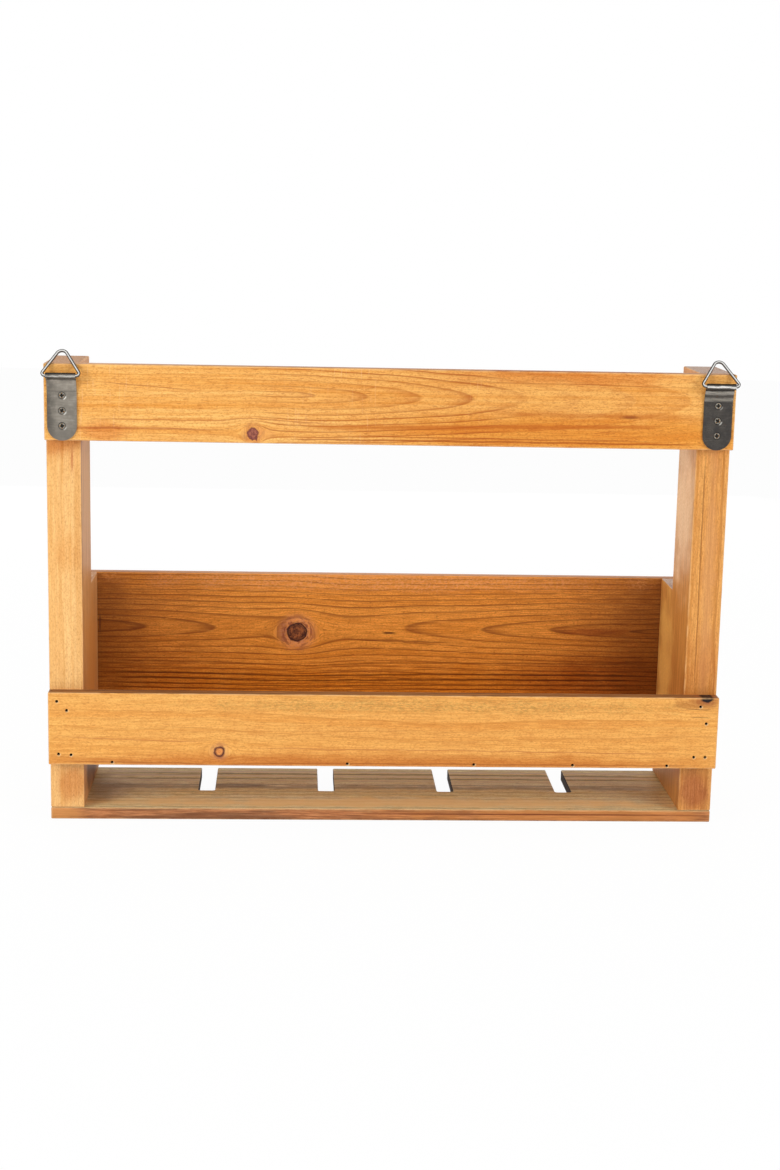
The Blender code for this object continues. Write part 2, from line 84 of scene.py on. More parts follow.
def shade(red: int, green: int, blue: int) -> Colour:
    """Turn a screen colour, 0 to 255 in each part, into the linear one that shaders take."""
    levels = [level / 255 for level in (red, green, blue)]
    return tuple(v / 12.92 if v <= 0.04045 else ((v + 0.055) / 1.055) ** 2.4 for v in levels)


def tuned(thing: object, **settings: object) -> object:
    """Set properties of a thing, and hand it back."""
    for name, value in settings.items():
        setattr(thing, name, value)
    return thing


# Node trees

def maths(operation: str, backwards: bool = False) -> Callable[..., "Wire"]:
    """A method for Wire that adds one Math node.

    Args:
        operation: what the node does.
        backwards: whether the wire is the last value instead of the first.

    Returns:
        The method.
    """
    def method(self: "Wire", *others: Value) -> "Wire":
        """Add the node."""
        return self.graph.math(operation, *((*others, self) if backwards else (self, *others)))
    return method


class Wire:
    """One value in a node tree. Arithmetic on it adds Math nodes."""

    __add__ = maths("ADD")
    __sub__ = maths("SUBTRACT")
    __rsub__ = maths("SUBTRACT", backwards=True)
    __mul__ = maths("MULTIPLY")
    __truediv__ = maths("DIVIDE")
    __rtruediv__ = maths("DIVIDE", backwards=True)
    __pow__ = maths("POWER")
    __abs__ = maths("ABSOLUTE")
    at_least = maths("MAXIMUM")
    at_most = maths("MINIMUM")
    scaled = maths("MULTIPLY_ADD")
    sine = maths("SINE")
    root = maths("SQRT")
    floor = maths("FLOOR")
    fract = maths("FRACT")

    def __init__(self, graph: "Graph", socket: NodeSocket) -> None:
        """Hold an output and the graph that it is in."""
        self.graph = graph
        self.socket = socket

    def ease(self, start: Value, end: Value, low: Value = 0.0, high: Value = 1.0) -> "Wire":
        """A smooth step from low at the start to high at the end."""
        step = {"interpolation_type": "SMOOTHSTEP"}
        return self.graph.out("ShaderNodeMapRange", self, start, end, low, high, **step)


class Graph:
    """A node tree in the making."""

    def __init__(self, tree: NodeTree) -> None:
        """Start on an existing tree."""
        self.tree = tree

    def feed(self, target: NodeSocket, value: Value) -> None:
        """Link a socket, or give it a plain value."""
        if isinstance(value, Wire):
            self.tree.links.new(value.socket, target)
        else:
            opaque = target.type == "RGBA" and len(value) == 3
            target.default_value = (*value, 1.0) if opaque else value

    def node(self, kind: str, *values: Value, **named: object) -> Node:
        """Add a node and feed it.

        Args:
            kind: the node's type name.
            *values: its first inputs, in order.
            **named: in lower case its properties, capitalised its inputs, "_" for each space.

        Returns:
            The node.
        """
        settings = {name: value for name, value in named.items() if name[0].islower()}
        made = tuned(self.tree.nodes.new(kind), **settings)
        for target, value in zip(made.inputs, values):
            self.feed(target, value)
        for name, value in named.items():
            if name not in settings:
                self.feed(made.inputs[name.replace("_", " ")], value)
        return made

    def out(self, kind: str, *values: Value, at: Union[int, str] = 0, **named: object) -> Wire:
        """Add a node the same way and take one of its outputs."""
        return Wire(self, self.node(kind, *values, **named).outputs[at])

    def outs(self, kind: str, *values: Value, **named: object) -> dict[str, Wire]:
        """Add a node the same way and take its outputs by name."""
        made = self.node(kind, *values, **named)
        return {socket.name: Wire(self, socket) for socket in made.outputs}

    def math(self, operation: str, *values: Value, clamp: bool = False) -> Wire:
        """A Math node's result."""
        return self.out("ShaderNodeMath", *values, operation=operation, use_clamp=clamp)

    def vector(self, operation: str, *values: Value) -> Wire:
        """A Vector Math node's result."""
        at = "Value" if operation in ("LENGTH", "DOT_PRODUCT") else "Vector"
        return self.out("ShaderNodeVectorMath", *values, at=at, operation=operation)

    def split(self, vector: Wire) -> list[Wire]:
        """The three parts of a vector."""
        return list(self.outs("ShaderNodeSeparateXYZ", vector).values())

    def join(self, x: Value, y: Value, z: Value = 0.0) -> Wire:
        """A vector from its parts."""
        return self.out("ShaderNodeCombineXYZ", x, y, z)

    def noise(self, vector: Wire, scale: float = 1.0, detail: float = 2.0,
              roughness: float = 0.5, distortion: float = 0.0) -> Wire:
        """Noise about 0.5, with so many features per unit and so many octaves."""
        return self.out("ShaderNodeTexNoise", Vector=vector, Scale=scale, Detail=detail,
                        Roughness=roughness, Distortion=distortion)

    def dice(self, value: Wire) -> Wire:
        """One random number for each whole number."""
        return self.out("ShaderNodeTexWhiteNoise", noise_dimensions="1D", W=value)

    def blend(self, factor: Value, first: Value, second: Value, mode: str = "MIX") -> Wire:
        """Two colours mixed, the factor being the second one's share."""
        made = self.node("ShaderNodeMix", factor, data_type="RGBA", blend_type=mode,
                         clamp_factor=True)
        self.feed(made.inputs[6], first)
        self.feed(made.inputs[7], second)
        return Wire(self, made.outputs[2])

    def call(self, group: NodeTree, finish: object = None, **values: Value) -> dict[str, Wire]:
        """Place a shader node group.

        Args:
            group: the group.
            finish: where inputs that aren't named below find a field of the same name.
            **values: inputs, capitalised and with "_" for each space.

        Returns:
            Its outputs by name.
        """
        for item in group.interface.items_tree:
            label = item.name.replace(" ", "_")
            if item.in_out == "INPUT" and label not in values and hasattr(finish, label.lower()):
                values[label] = getattr(finish, label.lower())
        return self.outs("ShaderNodeGroup", node_tree=group, **values)


class Group:
    """A node group with named inputs and outputs."""

    TREE = "ShaderNodeTree"
    KINDS = {"VALUE": "NodeSocketFloat", "VECTOR": "NodeSocketVector",
             "GEOMETRY": "NodeSocketGeometry", "MATERIAL": "NodeSocketMaterial"}

    def __init__(self, name: str, **inputs: Value) -> None:
        """Make the group and its inputs.

        Args:
            name: the group's name.
            **inputs: each input's default, a number or a vector, or else its kind.
        """
        self.tree = bpy.data.node_groups.new(name, self.TREE)
        for label, default in inputs.items():
            if isinstance(default, str):
                self.socket(label, "INPUT", default)
            else:
                kind = "VALUE" if isinstance(default, float) else "VECTOR"
                self.socket(label, "INPUT", kind).default_value = default
        self.graph = Graph(self.tree)
        self.given = list(self.graph.outs("NodeGroupInput").values())[:-1]

    def socket(self, label: str, way: str, kind: str) -> bpy.types.NodeTreeInterfaceSocket:
        """Add an input or an output."""
        return self.tree.interface.new_socket(
            name=label.replace("_", " "), in_out=way, socket_type=self.KINDS[kind])

    def open(self) -> tuple:
        """The graph, then each input in order."""
        return self.graph, *self.given

    def give(self, **values: Wire) -> NodeTree:
        """End the group in its outputs.

        Args:
            **values: each output's value.

        Returns:
            The group's tree.
        """
        for label, value in values.items():
            self.socket(label, "OUTPUT", value.socket.type)
        self.graph.node("NodeGroupOutput", *values.values())
        return self.tree


# Effects that several finishes share

@cache
def knot_effect() -> NodeTree:
    """A knot: the grain parts and flows round it, and its own rings fill its core.

    Returns:
        A group that bends the grain's vector and puts out the knot's masks.
    """
    made = Group("knot", Vector=ORIGIN, Centre=ORIGIN, Core=4.0, Reach=7.0, Stretch=1.3,
                 Ragged=0.55, Rim_Width=0.24, Seed=0.0)
    g, vector, centre, core, reach, stretch, ragged, rim_width, seed = made.open()
    along, across, deep = g.split(vector)
    middle_along, middle_across, _ = g.split(centre)
    off_along = along - middle_along
    off_across = across - middle_across
    flat = g.join(off_along, off_across, seed)
    rough = g.noise(flat, scale=0.22) - 0.5
    round_it = g.vector("LENGTH", g.join(off_along / stretch, off_across))
    distance = rough.scaled(core * ragged, round_it)
    flow = g.vector("LENGTH", g.join(off_along / (stretch * 1.7), off_across))
    share = (reach / flow.at_least(reach)) ** 2.0
    bent = middle_across + off_across * (1.0 - share)
    inside = distance.ease(core * 0.92, core * 1.12, *FADE_OUT)
    uneven = g.noise(flat, scale=0.5)
    rim = abs(distance - core).ease(0.0, core * (rim_width * uneven.scaled(1.6, 0.2)), *FADE_OUT)
    swirl = g.noise(g.join(off_along * 0.22, off_across * 0.55, seed), detail=3.0, distortion=1.6)
    halo = distance.ease(core, reach * 1.9, *FADE_OUT)
    way = g.vector("MULTIPLY", g.vector("NORMALIZE", g.join(off_along, off_across)), (1.3,) * 3)
    outward = g.join(0.0, 0.0, distance.scaled(0.5, seed))
    curl = g.noise(g.vector("ADD", way, outward), detail=3.0, distortion=0.6)
    turns = (distance + (uneven - 0.5) * core) * (10.0 / core)
    cracks = g.noise(flat, scale=0.55, detail=3.0, distortion=1.0).ease(0.50, 0.58, 0.0, 0.6)
    return made.give(
        Vector=g.join(along, bent, deep), Core=inside, Rim=rim,
        Halo=halo * swirl.ease(0.34, 0.6, 0.35, 1.0), Wisp=halo * curl.ease(0.46, 0.60),
        Grain=g.math("ADD", turns.sine().scaled(0.35, 0.35), cracks, clamp=True))


@cache
def ring_effect() -> NodeTree:
    """Growth rings of a log that the board was sawn from.

    The pith runs along the board behind its seen face. Where it comes nearer, the rings open into
    rounded arches on the face, and the ends show them as arcs.

    Returns:
        A group that puts out dark latewood lines and each ring's own tone.
    """
    made = Group(
        "growth_rings", Vector=ORIGIN, Pith_Across=0.0, Pith_Depth=30.0,
        Least_Depth=1.0, Taper=0.05, Taper_Centre=0.0, Face=0.0, Ring_Width=3.5, Wander=3.0,
        Contrast=0.6, Calm=0.0, Calm_Middle=0.0, Calm_Start=0.0, Calm_End=1.0, Seed=0.0)
    (g, vector, pith_across, pith_depth, least_depth, taper, taper_centre, face,
     ring_width, wander, contrast, calm, calm_middle, calm_start, calm_end, seed) = made.open()
    along, across, deep = g.split(vector)
    shifted = along + seed * 371.0
    slow = g.noise(g.join(shifted / 90.0, across / 26.0, deep / 40.0), detail=1.0)
    quick = g.noise(g.join(shifted / 24.0, across / 5.0, deep / 9.0))
    drift = (slow - 0.5) * (wander * 2.0) + (quick - 0.5) * (wander * 0.22)
    sideways = across - pith_across + drift
    off_centre = along - taper_centre
    from_centre = off_centre.scaled(off_centre, BLUNT_ARCH ** 2).root()
    buried = (pith_depth - taper * from_centre).at_least(least_depth)
    radius = g.vector("LENGTH", g.join(sideways, buried + (face - deep)))
    uneven = g.noise(g.join(radius / 9.0, seed), detail=1.0)
    count = radius / ring_width + uneven * 0.5
    phase = count.fract()
    whole = (count + seed * 53.0).floor()
    rise = phase.ease(0.30, 0.92).scaled(0.20, phase.ease(0.64, 0.94) ** 1.4 * 0.80)
    fall = phase.ease(0.93, 1.0, *FADE_OUT)
    strength = g.dice(whole + 0.37).scaled(contrast, 1.0 - contrast)
    calmed = abs(along - calm_middle).ease(calm_start, calm_end) * calm
    late = g.math("MULTIPLY", rise * fall, strength * (1.0 - calmed), clamp=True)
    return made.give(Late=late, Tone=g.dice(whole))


@cache
def fibre_effect() -> NodeTree:
    """Fine fibres along the grain: long streaks, short dashes, pores, specks and saw marks.

    Returns:
        A group that puts out streaks and dashes about 0.5, and masks of pores, specks and marks.
    """
    made = Group("wood_fibre", Vector=ORIGIN, Fibre_Length=130.0, Fibre_Width=1.9, Seed=0.0)
    g, vector, fibre_length, fibre_width, seed = made.open()
    along, across, deep = g.split(vector)
    shift = seed * 17.0

    def sample(length: Value, width: Value, detail: float, roughness: float = 0.5) -> Wire:
        """Noise stretched along the grain, in millimetres."""
        place = g.join(along / length + shift, across / width, deep / width)
        return g.noise(place, detail=detail, roughness=roughness)

    cross = g.noise(g.join(along * 0.75, across * 0.05, shift))
    where = g.noise(g.join(along * 0.012, shift))
    return made.give(
        Streak=sample(fibre_length, fibre_width, 3.0, 0.62), Dash=sample(15.0, 0.9, 3.0, 0.65),
        Pore=sample(3.4, 0.55, 0.0).ease(0.66, 0.78), Speck=sample(1.5, 1.0, 2.0).ease(0.48, 0.64),
        Saw=cross.ease(0.58, 0.72) * where.ease(0.5, 0.62))


@cache
def arris_effect() -> NodeTree:
    """Wear along the edges of a square-cut board.

    Returns:
        A group that puts out a broken line along each edge of the box that it is given.
    """
    made = Group("worn_arris", Vector=ORIGIN, Centre=ORIGIN, Half=(0.1, 0.1, 0.1), Width=1.4,
                 Seed=0.0)
    g, vector, centre, half, width, seed = made.open()
    place = g.vector("ABSOLUTE", g.vector("SUBTRACT", vector, centre))
    x, y, z = g.split(g.vector("SUBTRACT", half, place))
    second = x.at_most(y).at_least(x.at_least(y).at_most(z))
    rough = g.noise(g.vector("ADD", vector, g.join(seed, 0.0)), scale=0.11, detail=3.0)
    line = second.ease(width * 0.35, width, *FADE_OUT)
    return made.give(Worn=line * rough.ease(0.30, 0.62, 0.15, 1.0))


@cache
def seam_effect() -> NodeTree:
    """One dark line along the grain, such as a resin streak or a strong year ring.

    Returns:
        A group that puts out the line's mask.
    """
    made = Group("grain_seam", Vector=ORIGIN, Across=0.0, Slope=0.0, Width=0.8, Start=-300.0,
                 End=300.0, Fade=20.0, Wobble=1.0, Seed=0.0)
    g, vector, across, slope, width, start, end, fade, wobble, seed = made.open()
    along, sideways, _ = g.split(vector)
    wave = g.noise(g.join(along / 30.0, seed)) - 0.5
    apart = abs(sideways - slope.scaled(along, across) + wave * (wobble * 2.0))
    thick = width * g.noise(g.join(along / 9.0, seed, 4.0)).scaled(1.4, 0.3)
    line = apart.ease(thick * 0.2, thick, *FADE_OUT)
    ends = along.ease(start, start + fade) * along.ease(end - fade, end, *FADE_OUT)
    return made.give(Line=line * ends)


@cache
def patch_effect() -> NodeTree:
    """A soft-edged stain or weathered patch.

    Returns:
        A group that puts out the patch's mask, broken up by speckles as much as Speckle says.
    """
    made = Group("patch", Vector=ORIGIN, Centre=ORIGIN, Half=(40.0, 8.0, 30.0), Speckle=0.0,
                 Grain=0.8, Ragged=0.65, Seed=0.0)
    g, vector, centre, half, speckle, grain, ragged, seed = made.open()
    off = g.vector("DIVIDE", g.vector("SUBTRACT", vector, centre), half)
    wide = g.noise(g.vector("ADD", vector, g.join(seed, seed)), scale=0.045, detail=3.0)
    distance = g.vector("LENGTH", off) + wide.scaled(2.0, -1.0) * ragged
    soft = distance.ease(0.35, 1.1, *FADE_OUT)
    fine = g.noise(g.vector("MULTIPLY", vector, g.join(0.45, grain, grain)))
    speckled = soft * fine.ease(0.47, 0.60)
    return made.give(Patch=speckled.scaled(speckle, soft * (1.0 - speckle)))


@cache
def nail_effect() -> NodeTree:
    """The wood round a nail: a dark crushed rim and pale fibres torn up on one side.

    Returns:
        A group that puts out the masks of the rim and of the torn fibres.
    """
    made = Group("nail_mark", Vector=ORIGIN, Centre=ORIGIN, Hole=1.0, Seed=0.0)
    g, vector, centre, hole, seed = made.open()
    off = g.vector("SUBTRACT", vector, centre)
    ragged = g.noise(g.vector("ADD", off, g.join(seed, 0.0)), scale=0.8)
    apart = g.vector("LENGTH", off) + ragged.scaled(1.2, -0.6) - hole
    rim = apart.ease(0.0, 0.28, *FADE_OUT)
    along, across, _ = g.split(off)
    side = across * -0.7 + along * -0.5
    torn = apart.ease(0.3, 1.3, *FADE_OUT) * side.ease(-0.2, 0.8)
    return made.give(Rim=rim, Torn=torn * (1.0 - rim))


@cache
def steel_effect() -> NodeTree:
    """Rolled or brushed steel: fine lines one way, cloudy patches and small scratches.

    Returns:
        A group that puts out lines, clouds and scratches.
    """
    made = Group("rolled_steel", Vector=ORIGIN, Fineness=5.0, Seed=0.0)
    g, vector, fineness, seed = made.open()
    placed = g.vector("ADD", vector, g.join(seed, 0.0, seed))
    x, y, z = g.split(placed)
    slanted = g.join(z.scaled(0.35, x), x.scaled(-0.35, z), y)
    scratch = g.noise(g.vector("MULTIPLY", slanted, (0.16, 3.2, 0.5)), detail=1.0)
    return made.give(
        Lines=g.noise(g.join(x * 0.12, y * fineness, z * fineness)),
        Clouds=g.noise(placed, scale=0.16, detail=4.0, roughness=0.6),
        Scratch=scratch.ease(0.69, 0.76))


# Finishes

class Surface:
    """A material in the making, with its object's coordinates in millimetres."""

    def __init__(self, name: str) -> None:
        """Start the material."""
        self.made = tuned(bpy.data.materials.new(name), use_nodes=True)
        self.graph = Graph(self.made.node_tree)
        given = self.graph.outs("ShaderNodeTexCoord")
        self.place = self.graph.vector("MULTIPLY", given["Object"], (1 / MM,) * 3)
        self.normal = given["Normal"]

    def finish(self, height: Wire, bump: float, depth: float, **values: Value) -> Material:
        """Feed the shader.

        Args:
            height: the relief.
            bump: how strongly it shows.
            depth: the relief's full depth, in metres.
            **values: other inputs of the shader, capitalised and with "_" for each space.

        Returns:
            The material.
        """
        shader = self.made.node_tree.nodes["Principled BSDF"]
        normal = self.graph.out("ShaderNodeBump", Strength=bump, Distance=depth, Height=height)
        for name, value in {**values, "Normal": normal}.items():
            self.graph.feed(shader.inputs[name.replace("_", " ")], value)
        return self.made


class Grain(Enum):
    """Which way a board's grain runs: the axes along it, across its seen face and through it."""

    RAIL = ("X", "Z", "Y")
    SHELF = ("X", "Y", "Z")
    UPRIGHT = ("Z", "X", "Y")

    def sort(self, parts: Sequence[Value]) -> list[Value]:
        """Put X, Y and Z parts in the grain's order."""
        return [parts["XYZ".index(axis)] for axis in self.value]


class Side(Enum):
    """An end of the rack, as seen from the front: the sign of its X."""

    LEFT = -1
    RIGHT = 1

    @property
    def word(self) -> str:
        """Its word in the names of pieces."""
        return self.name.lower()


@dataclass(frozen=True)
class Knot:
    """A knot in a board, in millimetres along and across the grain."""

    along: float
    across: float
    core: float
    reach: float
    stretch: float
    dark: Colour
    light: Colour
    halo: Colour
    halo_share: float
    rim: Colour
    rim_width: float
    ragged: float
    wisp: Colour = shade(150, 84, 56)
    wisp_share: float = 0.5


@dataclass(frozen=True)
class Seam:
    """A dark line along a board's grain, in millimetres."""

    across: float
    width: float
    slope: float
    start: float
    end: float
    fade: float
    wobble: float
    strength: float
    colour: Colour


class Cover(Enum):
    """How a patch lies on the wood: a stain lets the grain through, a veil covers it."""

    STAIN = "MULTIPLY"
    VEIL = "MIX"


@dataclass(frozen=True)
class Patch:
    """A stained or weathered patch on a board, in millimetres along, across and through it."""

    centre: tuple[float, float, float]
    half: tuple[float, float, float]
    colour: Colour
    strength: float
    cover: Cover = Cover.STAIN
    speckle: float = 0.0
    grain: float = 0.8
    ragged: float = 0.65


@dataclass(frozen=True)
class WoodFinish:
    """Stained softwood as one board shows it. Lengths are in millimetres."""

    pale: Colour
    gold: Colour
    dark: Colour
    grain: Grain
    face: float
    pith_across: float
    pith_depth: float
    end_colour: Colour = shade(188, 148, 114)
    torn_colour: Colour = shade(228, 206, 182)
    worn_colour: Colour = shade(238, 190, 132)
    nail_colour: Colour = shade(48, 26, 16)
    fresh_colour: Colour = shade(255, 226, 172)
    saw_colour: Colour = (1.0, 0.72, 0.42)
    edge_colour: Colour = shade(205, 160, 125)
    edge_dark: Colour = shade(120, 70, 44)
    edge_share: float = 0.0
    least_depth: float = 1.0
    calm: float = 0.0
    calm_middle: float = 0.0
    calm_start: float = 0.0
    calm_end: float = 1.0
    taper: float = 0.05
    taper_centre: float = 0.0
    ring_width: float = 3.6
    wander: float = 3.0
    contrast: float = 0.6
    line_share: float = 0.8
    fibre_length: float = 130.0
    fibre_width: float = 1.9
    fibre_share: float = 0.42
    bright_share: float = 0.5
    speck_share: float = 0.34
    tone_share: float = 0.45
    pore_share: float = 0.45
    torn_share: float = 0.75
    crushed_share: float = 0.85
    burnt_share: float = 0.92
    saw_share: float = 0.0
    burnt_within: float = 0.0
    worn_share: float = 0.5
    roughness: float = 0.5
    rough_swing: float = 0.16
    end_rough: float = 0.15
    shine: float = 0.28
    bump: float = 0.35
    seed: float = 1.0
    knots: tuple[Knot, ...] = ()
    seams: tuple[Seam, ...] = ()
    patches: tuple[Patch, ...] = ()

    def build(self, name: str, box: tuple[Vector, Vector],
              nails: Sequence[Vector]) -> Material:
        """Make the board's material.

        Args:
            name: the material's name.
            box: the board's lowest and highest corner, in metres.
            nails: the middles of the nail heads in the board, in metres.

        Returns:
            The material.
        """
        surface = Surface(name)
        g = surface.graph
        vector = g.join(*self.grain.sort(g.split(surface.place)))
        facing = self.grain.sort(g.split(g.vector("ABSOLUTE", surface.normal)))
        end, narrow = (part.ease(*FACING) for part in facing[:2])
        knots = []
        bent = vector
        for number, knot in enumerate(self.knots):
            masks = g.call(knot_effect(), knot, Vector=bent, Centre=(knot.along, knot.across, 0.0),
                           Seed=self.seed * 7 + number)
            bent = masks["Vector"]
            knots.append((knot, masks))
        rings = g.call(ring_effect(), self, Vector=bent)
        fibre = g.call(fibre_effect(), self, Vector=bent)
        streak, dash = fibre["Streak"], fibre["Dash"]
        colour = self.plain_wood(g, rings, fibre)
        height = fibre["Pore"].scaled(-0.6, rings["Late"].scaled(0.6, dash * 0.9))

        edge = g.blend(streak.ease(0.44, 0.62), self.edge_colour, self.edge_dark)
        edge = g.blend(dash.ease(0.38, 0.6, 0.65, 0.0), edge, self.edge_dark)
        colour = g.blend(narrow * self.edge_share, colour, edge)
        for seam in self.seams:
            line = g.call(seam_effect(), seam, Vector=bent, Seed=self.seed + seam.across)["Line"]
            share = line * seam.strength
            colour = g.blend(share, colour, seam.colour)
            height = share.scaled(-0.5, height)
        for number, patch in enumerate(self.patches):
            mask = g.call(patch_effect(), patch, Vector=vector, Seed=self.seed * 31 + number)
            share = mask["Patch"] * patch.strength
            colour = g.blend(share, colour, patch.colour, patch.cover.value)
        for knot, masks in knots:
            heart = g.blend(masks["Grain"], knot.light, knot.dark)
            for share, laid in (
                (masks["Halo"] * knot.halo_share, knot.halo),
                (masks["Wisp"] * knot.wisp_share, knot.wisp),
                (masks["Core"], heart), (masks["Rim"], knot.rim),
            ):
                colour = g.blend(share, colour, laid)
            height = masks["Rim"].scaled(-1.2, height)

        sawn = g.blend(rings["Late"] * 0.55, self.end_colour, self.gold)
        sawn = g.blend(streak.ease(0.46, 0.60, 0.0, 0.55), sawn, self.torn_colour)
        sawn = g.blend(dash.ease(0.38, 0.62, 0.6, 0.0), sawn, self.dark)
        colour = g.blend(end, colour, sawn)
        # End-grain faces nearer the board's middle than the given reach, such as the walls of
        # slots, are made near-black.
        if self.burnt_within:
            away = abs(g.split(vector)[0])
            reach = self.burnt_within
            darkened_ends = end * away.ease(reach, reach + 1, self.burnt_share, 0.0)
            colour = g.blend(darkened_ends, colour, self.nail_colour)
        for number, nail in enumerate(nails):
            marks = g.call(nail_effect(), Vector=vector, Centre=self.grain.sort(nail / MM),
                           Seed=self.seed + 3 * number)
            colour = g.blend(marks["Torn"] * self.torn_share, colour, self.fresh_colour)
            colour = g.blend(marks["Rim"] * self.crushed_share, colour, self.nail_colour)
        low, high = (corner / MM for corner in box)
        wear_and_painted_outline = g.call(arris_effect(), Vector=surface.place, Centre=(low + high) / 2,
                      Half=(high - low) / 2, Seed=self.seed * 3)["Worn"]
        colour = g.blend(wear_and_painted_outline * self.worn_share, colour, self.worn_colour)
        rough = streak.scaled(self.rough_swing, self.roughness - self.rough_swing / 2)
        return surface.finish(height, self.bump, WOOD_RELIEF, Base_Color=colour,
                              Roughness=rough + end * self.end_rough, Specular_IOR_Level=self.shine)

    def plain_wood(self, g: Graph, rings: dict[str, Wire], fibre: dict[str, Wire]) -> Wire:
        """Colour of wood with nothing on it.

        Args:
            g: the material's graph.
            rings: outputs of the growth rings.
            fibre: outputs of the fibres.

        Returns:
            The colour.
        """
        streak, dash = fibre["Streak"], fibre["Dash"]
        tone = (rings["Tone"] - 0.5).scaled(self.tone_share, (streak - 0.5).scaled(1.9, 0.5))
        colour = g.blend(g.math("ADD", tone, 0.0, clamp=True), self.pale, self.gold)
        deeper = tuple(0.5 * a + 0.5 * b for a, b in zip(self.gold, self.dark))
        bright = tuple(min(1.0, 1.12 * part) for part in self.pale)
        line = rings["Late"] * self.line_share * streak.ease(0.25, 0.55, 0.65, 1.0)
        for share, laid in (
            (line, self.dark),
            (dash.ease(0.34, 0.60, self.fibre_share, 0.0), deeper),
            (dash.ease(0.52, 0.68, 0.0, self.bright_share), bright),
            (fibre["Pore"] * self.pore_share, self.dark),
            (fibre["Speck"] * self.speck_share, deeper),
            (fibre["Saw"] * self.saw_share, self.saw_colour),
        ):
            colour = g.blend(share, colour, laid)
        return colour


@dataclass(frozen=True)
class Band:
    """A band across a strap where the steel is lighter or darker, in millimetres of height."""

    start: float
    end: float
    colour: Colour
    share: float
    smoother: float = 0.0
    edge: float = 0.6


@dataclass(frozen=True)
class Flank:
    """Painted dark outlines on the inner and outer side of a bent wire, a painted reflection of
    darker surroundings, with lengths in millimetres.
    """

    colour: Colour
    y: float
    z: float
    lean: float
    dull: float = 0.82
    rubbed: float = 1.1
    share: float = 0.88


@dataclass(frozen=True)
class SteelFinish:
    """Bare or plated steel. Lengths are in millimetres."""

    colour: Colour
    cloud: Colour
    roughness: float
    fineness: float
    bump: float
    cloud_share: float = 0.5
    stain: Colour = shade(104, 70, 52)
    stain_share: float = 0.0
    rough_swing: float = 0.22
    line_share: float = 0.45
    bands: tuple[Band, ...] = ()
    face: Optional[float] = None
    grime: Colour = shade(26, 22, 20)
    glint: Colour = shade(250, 246, 236)
    glint_shares: tuple[float, ...] = ()
    shaded_side: tuple[float, float, float] = (0.0, 1.0, 0.0)
    flank: Optional[Flank] = None
    seed: float = 0.0

    def build(self, name: str, holes: Sequence[Vector] = ()) -> Material:
        """Make the material.

        Args:
            name: the material's name.
            holes: middles of the screw seats, in metres, which get painted shade and a painted
                glint round them.

        Returns:
            The material.
        """
        surface = Surface(name)
        g = surface.graph
        x, y, z = g.split(surface.place)
        steel = g.call(steel_effect(), self, Vector=surface.place)
        lines, clouds, scratch = steel["Lines"], steel["Clouds"], steel["Scratch"]
        mottled = clouds.ease(0.35, 0.68, 0.0, self.cloud_share)
        colour = g.blend(mottled, self.colour, self.cloud)
        rough = lines.scaled(self.rough_swing, self.roughness - self.rough_swing / 2)
        rough = mottled.scaled(0.08, rough)
        wavy = (clouds - 0.5).scaled(1.6, z)
        for band in self.bands:
            rise = wavy.ease(band.start - band.edge, band.start + band.edge)
            fall = wavy.ease(band.end - band.edge, band.end + band.edge, *FADE_OUT)
            share = rise * fall * band.share
            colour = g.blend(share, colour, band.colour)
            rough = share.scaled(-band.smoother, rough)
        dimmed = tuple(0.6 * part for part in self.colour)
        colour = g.blend(lines.ease(0.38, 0.62, 0.0, self.line_share), colour, dimmed)
        rusty = g.noise(surface.place, scale=0.23, detail=4.0).ease(0.60, 0.74)
        colour = g.blend(rusty * self.stain_share, colour, self.stain)
        for hole, glint_share in zip(holes, self.glint_shares):
            off = g.join(x - hole.x / MM, z - hole.z / MM)
            far = g.vector("LENGTH", off)
            # Painted shade: a dark ring round each seat, where the gap round the screw head falls
            # dark.
            seat_shade = clouds.scaled(1.2, far).ease(3.0, 3.7, 0.65, 0.0)
            colour = g.blend(seat_shade, colour, self.grime)
            rough = seat_shade.scaled(0.2, rough)
            # Painted highlight: a bright crescent on the lower, -X side of each seat's rim.
            lower = g.vector("DOT_PRODUCT", g.vector("NORMALIZE", off), (-0.78, -0.62, 0.0))
            round_seat = far.ease(2.5, 2.9) * far.ease(3.2, 3.9, *FADE_OUT)
            rubbed = round_seat * lower.ease(0.80, 0.99, 0.0, glint_share)
            colour = g.blend(rubbed, colour, self.glint)
        full, none, share = self.shaded_side
        if share:
            shadow = x.ease(none, full) * share * clouds.ease(0.3, 0.6, 0.6, 1.0)
            colour = g.blend(shadow, colour, self.grime)
        # Painted reflection: dark outlines along the wire's sides, near the ring's plane.
        if self.flank is not None:
            out = (0.0, math.cos(self.flank.lean), math.sin(self.flank.lean))
            level = out[1] * self.flank.y + out[2] * self.flank.z
            off = abs(g.vector("DOT_PRODUCT", surface.place, out) - level)
            wear_and_painted_outline = off.ease(self.flank.dull, self.flank.rubbed, self.flank.share, 0.0)
            colour = g.blend(wear_and_painted_outline, colour, self.flank.colour)
        # Painted shade: the cross recess below the heads' outer plane is darkened.
        if self.face is not None:
            sunk = y.ease(self.face - 0.30, self.face - 0.06, 0.93, 0.0)
            colour = g.blend(sunk, colour, self.grime)
        height = scratch.scaled(-0.8, clouds.scaled(1.2, lines))
        return surface.finish(height, self.bump, STEEL_RELIEF, Base_Color=colour, Metallic=1.0,
                              Roughness=scratch.scaled(0.12, rough))


# Pieces

def stand(name: str, data: ID) -> Object:
    """Put an object into the scene, at the origin."""
    made = bpy.data.objects.new(name, data)
    bpy.context.scene.collection.objects.link(made)
    return made


def paint(mesh: Mesh, surface: Material) -> None:
    """Give a mesh one material and no other."""
    mesh.materials.clear()
    mesh.materials.append(surface)


def mesh_of(shape: bmesh.types.BMesh, name: str) -> Mesh:
    """Turn a finished shape into a mesh."""
    made = bpy.data.meshes.new(name)
    shape.to_mesh(made)
    shape.free()
    return made


